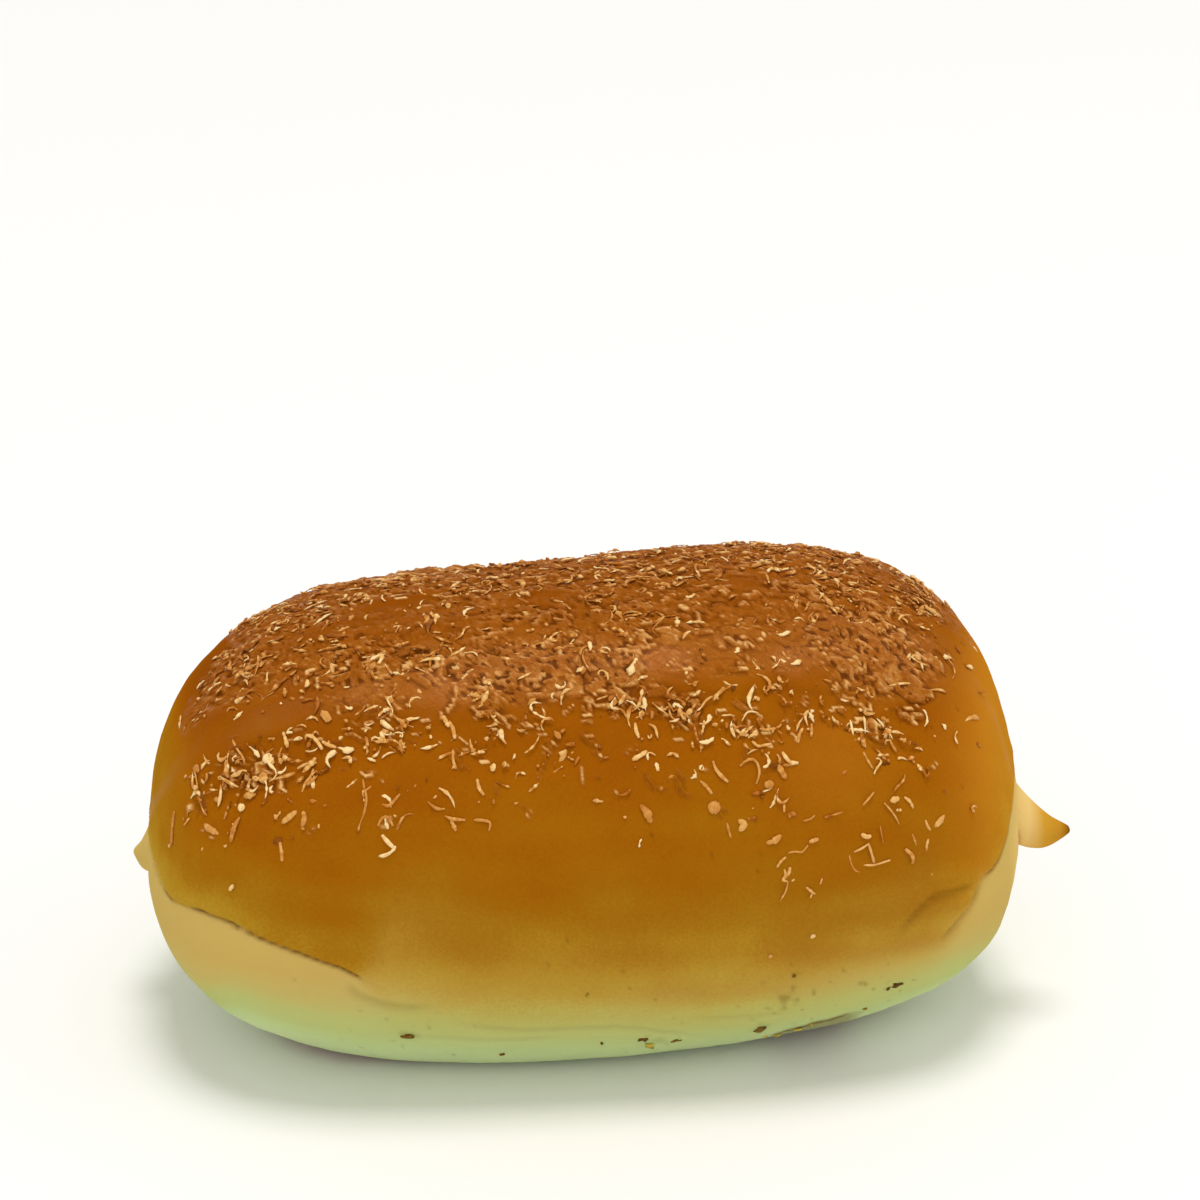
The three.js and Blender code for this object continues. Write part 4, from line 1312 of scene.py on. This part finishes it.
# Flakes set one by one where they stand out: width in mm, lightness, and the path as the
# places across and down the picture where the flake was seen, in pixels.
laidFlakes = {
    "name": "laidFlakes", "seed": 71, "steps": 8, "sides": 7, "arch": 0.12, "bed": 0.25,
    "toneGain": 0.95,
    "flakes": [
        (0.35, 0.8, [(777, 867), (781, 861), (786, 857)]),
        (0.26, 0.7, [(788, 853), (795, 851), (802, 853), (808, 845)]),
        (0.5, 0.75, [(809, 842), (814, 840), (818, 839)]),
        (0.4, 0.8, [(784, 869), (786, 875), (782, 880), (787, 881)]),
        (0.42, 0.75, [(790, 867), (789, 873), (785, 878)]),
        (0.24, 0.7, [(788, 881), (786, 890), (780, 901)]),
        (0.35, 0.75, [(806, 887), (811, 891), (815, 894)]),
        (0.3, 0.7, [(812, 892), (810, 898)]),
        (0.25, 0.7, [(822, 878), (820, 884)]),
        (0.32, 0.8, [(784, 803), (784, 812)]),
        (0.25, 0.6, [(803, 821), (811, 819), (815, 815)]),
        (0.3, 0.7, [(863, 805), (868, 799), (874, 792)]),
        (0.25, 0.7, [(884, 803), (889, 808), (895, 816), (899, 824)]),
        (0.75, 0.85, [(890, 801), (899, 798)]),
        (0.42, 0.85, [(904, 797), (909, 801), (913, 808)]),
        (0.38, 0.85, [(896, 810), (901, 810)]),
        (0.2, 0.55, [(880, 826), (881, 834), (883, 843)]),
        (0.6, 0.8, [(861, 834), (866, 837), (871, 836)]),
        (0.3, 0.8, [(868, 844), (862, 848), (854, 852)]),
        (0.34, 0.8, [(868, 843), (871, 853), (874, 863)]),
        (0.3, 0.8, [(863, 865), (874, 865), (883, 862), (890, 860)]),
        (0.26, 0.6, [(849, 855), (851, 864), (855, 871), (860, 872)]),
        (0.5, 0.7, [(905, 849), (910, 853), (913, 858), (912, 863)]),
        (0.25, 0.65, [(912, 834), (914, 839), (916, 845)]),
        (0.36, 0.75, [(928, 839), (926, 845), (926, 851)]),
        (0.38, 0.8, [(925, 820), (927, 826), (930, 830)]),
        (0.85, 0.8, [(934, 827), (939, 822), (944, 815)]),
        (0.26, 0.75, [(930, 871), (932, 876), (935, 880)]),
        (0.3, 0.7, [(863, 752), (868, 762), (873, 769)]),
        (0.45, 0.9, [(635, 723), (636, 731), (639, 738)]),
        (0.36, 0.75, [(649, 724), (655, 727), (658, 738)]),
        (0.45, 0.85, [(733, 723), (736, 729), (742, 734), (749, 735)]),
        (0.38, 0.75, [(752, 741), (758, 747), (765, 745), (772, 744)]),
        (0.42, 0.7, [(760, 728), (766, 730), (776, 728)]),
        (0.36, 0.65, [(812, 723), (811, 737)]),
        (0.46, 0.7, [(803, 728), (799, 735), (798, 742)]),
        (0.5, 0.9, [(782, 752), (785, 757), (790, 763), (798, 763)]),
        (0.85, 0.6, [(778, 764), (781, 771), (786, 779)]),
        (1, 0.6, [(764, 785), (774, 784)]),
        (0.36, 0.65, [(756, 784), (760, 776), (759, 765), (754, 758), (747, 759), (740, 766)]),
        (0.45, 0.75, [(713, 761), (715, 769), (721, 776), (728, 782)]),
        (0.42, 0.65, [(700, 781), (706, 786), (712, 794)]),
        (1.6, 0.7, [(708, 806), (720, 809)]),
        (0.65, 0.85, [(632, 760), (640, 756), (647, 751)]),
        (0.46, 1, [(656, 763), (658, 771)]),
        (0.36, 0.65, [(727, 823), (729, 832), (731, 838)]),
        (0.9, 0.75, [(738, 820), (745, 824), (739, 831)]),
        (0.8, 0.7, [(766, 843), (774, 841), (781, 835)]),
        (1, 0.6, [(640, 805), (647, 812), (651, 823)]),
        (0.3, 0.65, [(363, 779), (364, 788), (367, 797), (366, 806), (363, 817)]),
        (0.4, 0.6, [(400, 794), (394, 801), (389, 807), (382, 804)]),
        (0.4, 0.6, [(378, 826), (382, 817), (388, 816), (393, 826)]),
        (0.55, 1, [(382, 835), (388, 842), (394, 848)]),
        (0.6, 0.85, [(443, 716), (446, 722), (449, 727)]),
        (0.5, 0.75, [(449, 721), (453, 728), (455, 739)]),
        (0.42, 0.7, [(453, 750), (453, 761), (456, 769)]),
        (0.42, 0.7, [(445, 816), (452, 819), (465, 820)]),
        (0.5, 0.65, [(451, 820), (456, 831)]),
        (0.36, 0.65, [(474, 820), (483, 820), (491, 822), (489, 831)]),
        (0.46, 0.75, [(477, 779), (479, 789), (484, 795)]),
        (0.5, 0.85, [(305, 735), (311, 735), (317, 741), (322, 749)]),
        (0.46, 0.8, [(322, 741), (328, 745), (336, 747)]),
        (0.5, 0.85, [(283, 732), (285, 739), (287, 747)]),
        (0.36, 0.8, [(297, 768), (305, 764), (316, 762)]),
        (0.32, 0.75, [(313, 768), (311, 776), (305, 783), (302, 792)]),
        (1.3, 1, [(263, 755), (273, 763)]),
        (1.3, 0.68, [(262, 772), (264, 783)]),
        (1, 0.68, [(243, 796), (255, 794)]),
        (0.7, 0.85, [(230, 776), (237, 773), (246, 771)]),
        (0.95, 0.95, [(238, 808), (245, 807)]),
        (0.75, 0.55, [(240, 817), (235, 827), (231, 842)]),
        (0.85, 0.7, [(204, 824), (210, 829), (219, 834)]),
        (0.6, 0.55, [(175, 811), (173, 825), (172, 845)]),
        (0.8, 0.75, [(282, 823), (289, 818), (297, 811)]),
        (0.7, 0.6, [(303, 811), (305, 817), (302, 829)]),
        (0.46, 0.7, [(280, 842), (282, 853), (282, 861)]),
        (0.5, 0.95, [(234, 885), (230, 890)]),
    ],
}
chips = {
    "name": "chips", "seed": 45, "count": 260, "tries": 120000, "peak": 2.2, "tangle": 10.0,
    "coverPower": 1.0, "rings": 3, "sides": 8, "length": (0.6, 2.0), "narrowness": (0.35, 0.75),
    "thickness": (0.16, 0.34), "roughness": 0.2, "edge": 0.45, "curl": 0.3, "tilt": 0.3,
    "pile": 0.2, "bed": 0.15, "tone": (0.48, 0.2),
}
crumbs = {
    "name": "crumbs", "seed": 57, "count": 600, "tries": 90000, "peak": 2.2, "tangle": 7.0,
    "coverPower": 0.9, "rings": 3, "sides": 6, "length": (0.25, 0.8), "narrowness": (0.6, 1.0),
    "thickness": (0.4, 0.8), "roughness": 0.18, "edge": 0.8, "curl": 0.0, "tilt": 0.5, "pile": 0.4,
    "bed": 0.25, "tone": (0.48, 0.2),
}
for style in (toastedShreds, strawShreds, curledShreds):
    shredPiece(style, toasted)
laidPiece(laidFlakes, toasted)
for style in (chips, crumbs):
    lumpPiece(style, toasted)

# Crumbs that stand out on the bare crust: size in mm, lightness, and the place across and
# down the picture where it was seen, in pixels. None is set behind.
looseCrumbs = {
    "name": "looseCrumbs", "seed": 91, "rings": 4, "sides": 8, "roughness": 0.2, "edge": 0.7,
    "narrowness": (0.45, 0.85), "thickness": 0.34, "curl": 0.0, "tilt": 0.05, "lift": 0.08,
    "seen": [
        (0.45, 0.8, 793, 880), (0.6, 0.9, 813, 936), (0.5, 0.7, 770, 956), (0.5, 0.9, 366, 731),
        (0.5, 0.85, 391, 734), (0.5, 0.9, 431, 737), (0.5, 0.8, 435, 797), (0.5, 0.75, 395, 816),
        (0.5, 0.75, 319, 826), (0.5, 0.75, 226, 846), (0.5, 0.75, 203, 849), (0.5, 0.8, 170, 846),
        (0.45, 0.9, 199, 699), (0.6, 0.9, 788, 728), (0.5, 0.85, 722, 721), (0.5, 0.9, 689, 721),
        (0.5, 0.7, 625, 817), (0.5, 0.8, 462, 754), (0.5, 0.8, 454, 767),
    ],
    "behind": [],
}

# Dark specks of burnt filling and tray dirt near the base, with light crumbs among them:
# seen as above, and behind by size, lightness, x in mm and degrees from the top.
specks = {
    "name": "specks", "seed": 83, "rings": 3, "sides": 9, "roughness": 0.3, "edge": 0.5,
    "narrowness": (0.45, 0.85), "thickness": 0.3, "curl": 0.0, "tilt": 0.05, "lift": 0.06,
    "seen": [
        (1.4, 0.5, 407, 1036), (0.8, 0.5, 502, 1054), (0.6, 0.4, 602, 1043), (2.3, 0.42, 646, 1037),
        (1.8, 0.98, 650, 1045), (1.5, 0.5, 676, 1040), (1.9, 0.5, 760, 1029), (0.6, 0.55, 794, 976),
        (1.5, 0.3, 897, 985), (0.7, 0.4, 888, 988), (0.5, 0.7, 587, 995), (0.6, 0.95, 765, 1036),
        (1.0, 0.98, 777, 1035), (1.2, 1.0, 798, 1029), (0.8, 0.85, 811, 1024), (0.7, 0.6, 865, 1008),
    ],
    "behind": [
        (0.5, 0.5, -34.0, -118), (0.8, 0.45, -8.0, -121), (1.1, 0.5, 17.0, -117),
        (0.6, 0.4, 30.0, -112), (0.5, 0.5, 2.0, -126),
    ],
}


def speckPiece(style, material):
    # Crumbs and ragged scales pressed into the crust at set places: rough balls, flattened.
    random = np.random.default_rng(style["seed"])
    share, angle = castPlaces([place[2:] for place in style["seen"]])
    behind = np.array(style["behind"], float).reshape(-1, 4)
    share = np.concatenate([share, shareAt(behind[:, 2])])
    angle = np.concatenate([angle, np.radians(behind[:, 3] + 90)])
    size, tone = np.array([place[:2] for place in style["seen"] + style["behind"]]).T
    width = size * random.uniform(*style["narrowness"], len(size))
    sizes = (size, width, style["thickness"] + 0 * size)
    lift = style["lift"] + 0 * size
    return roughBalls(style, random, (share, angle), sizes, lift, tone, material)


speckPiece(looseCrumbs, toasted)
speckPiece(specks, flakeMaterial("Burnt specks", flakeColours["speck"], 0.6, 0.4, 0.08))
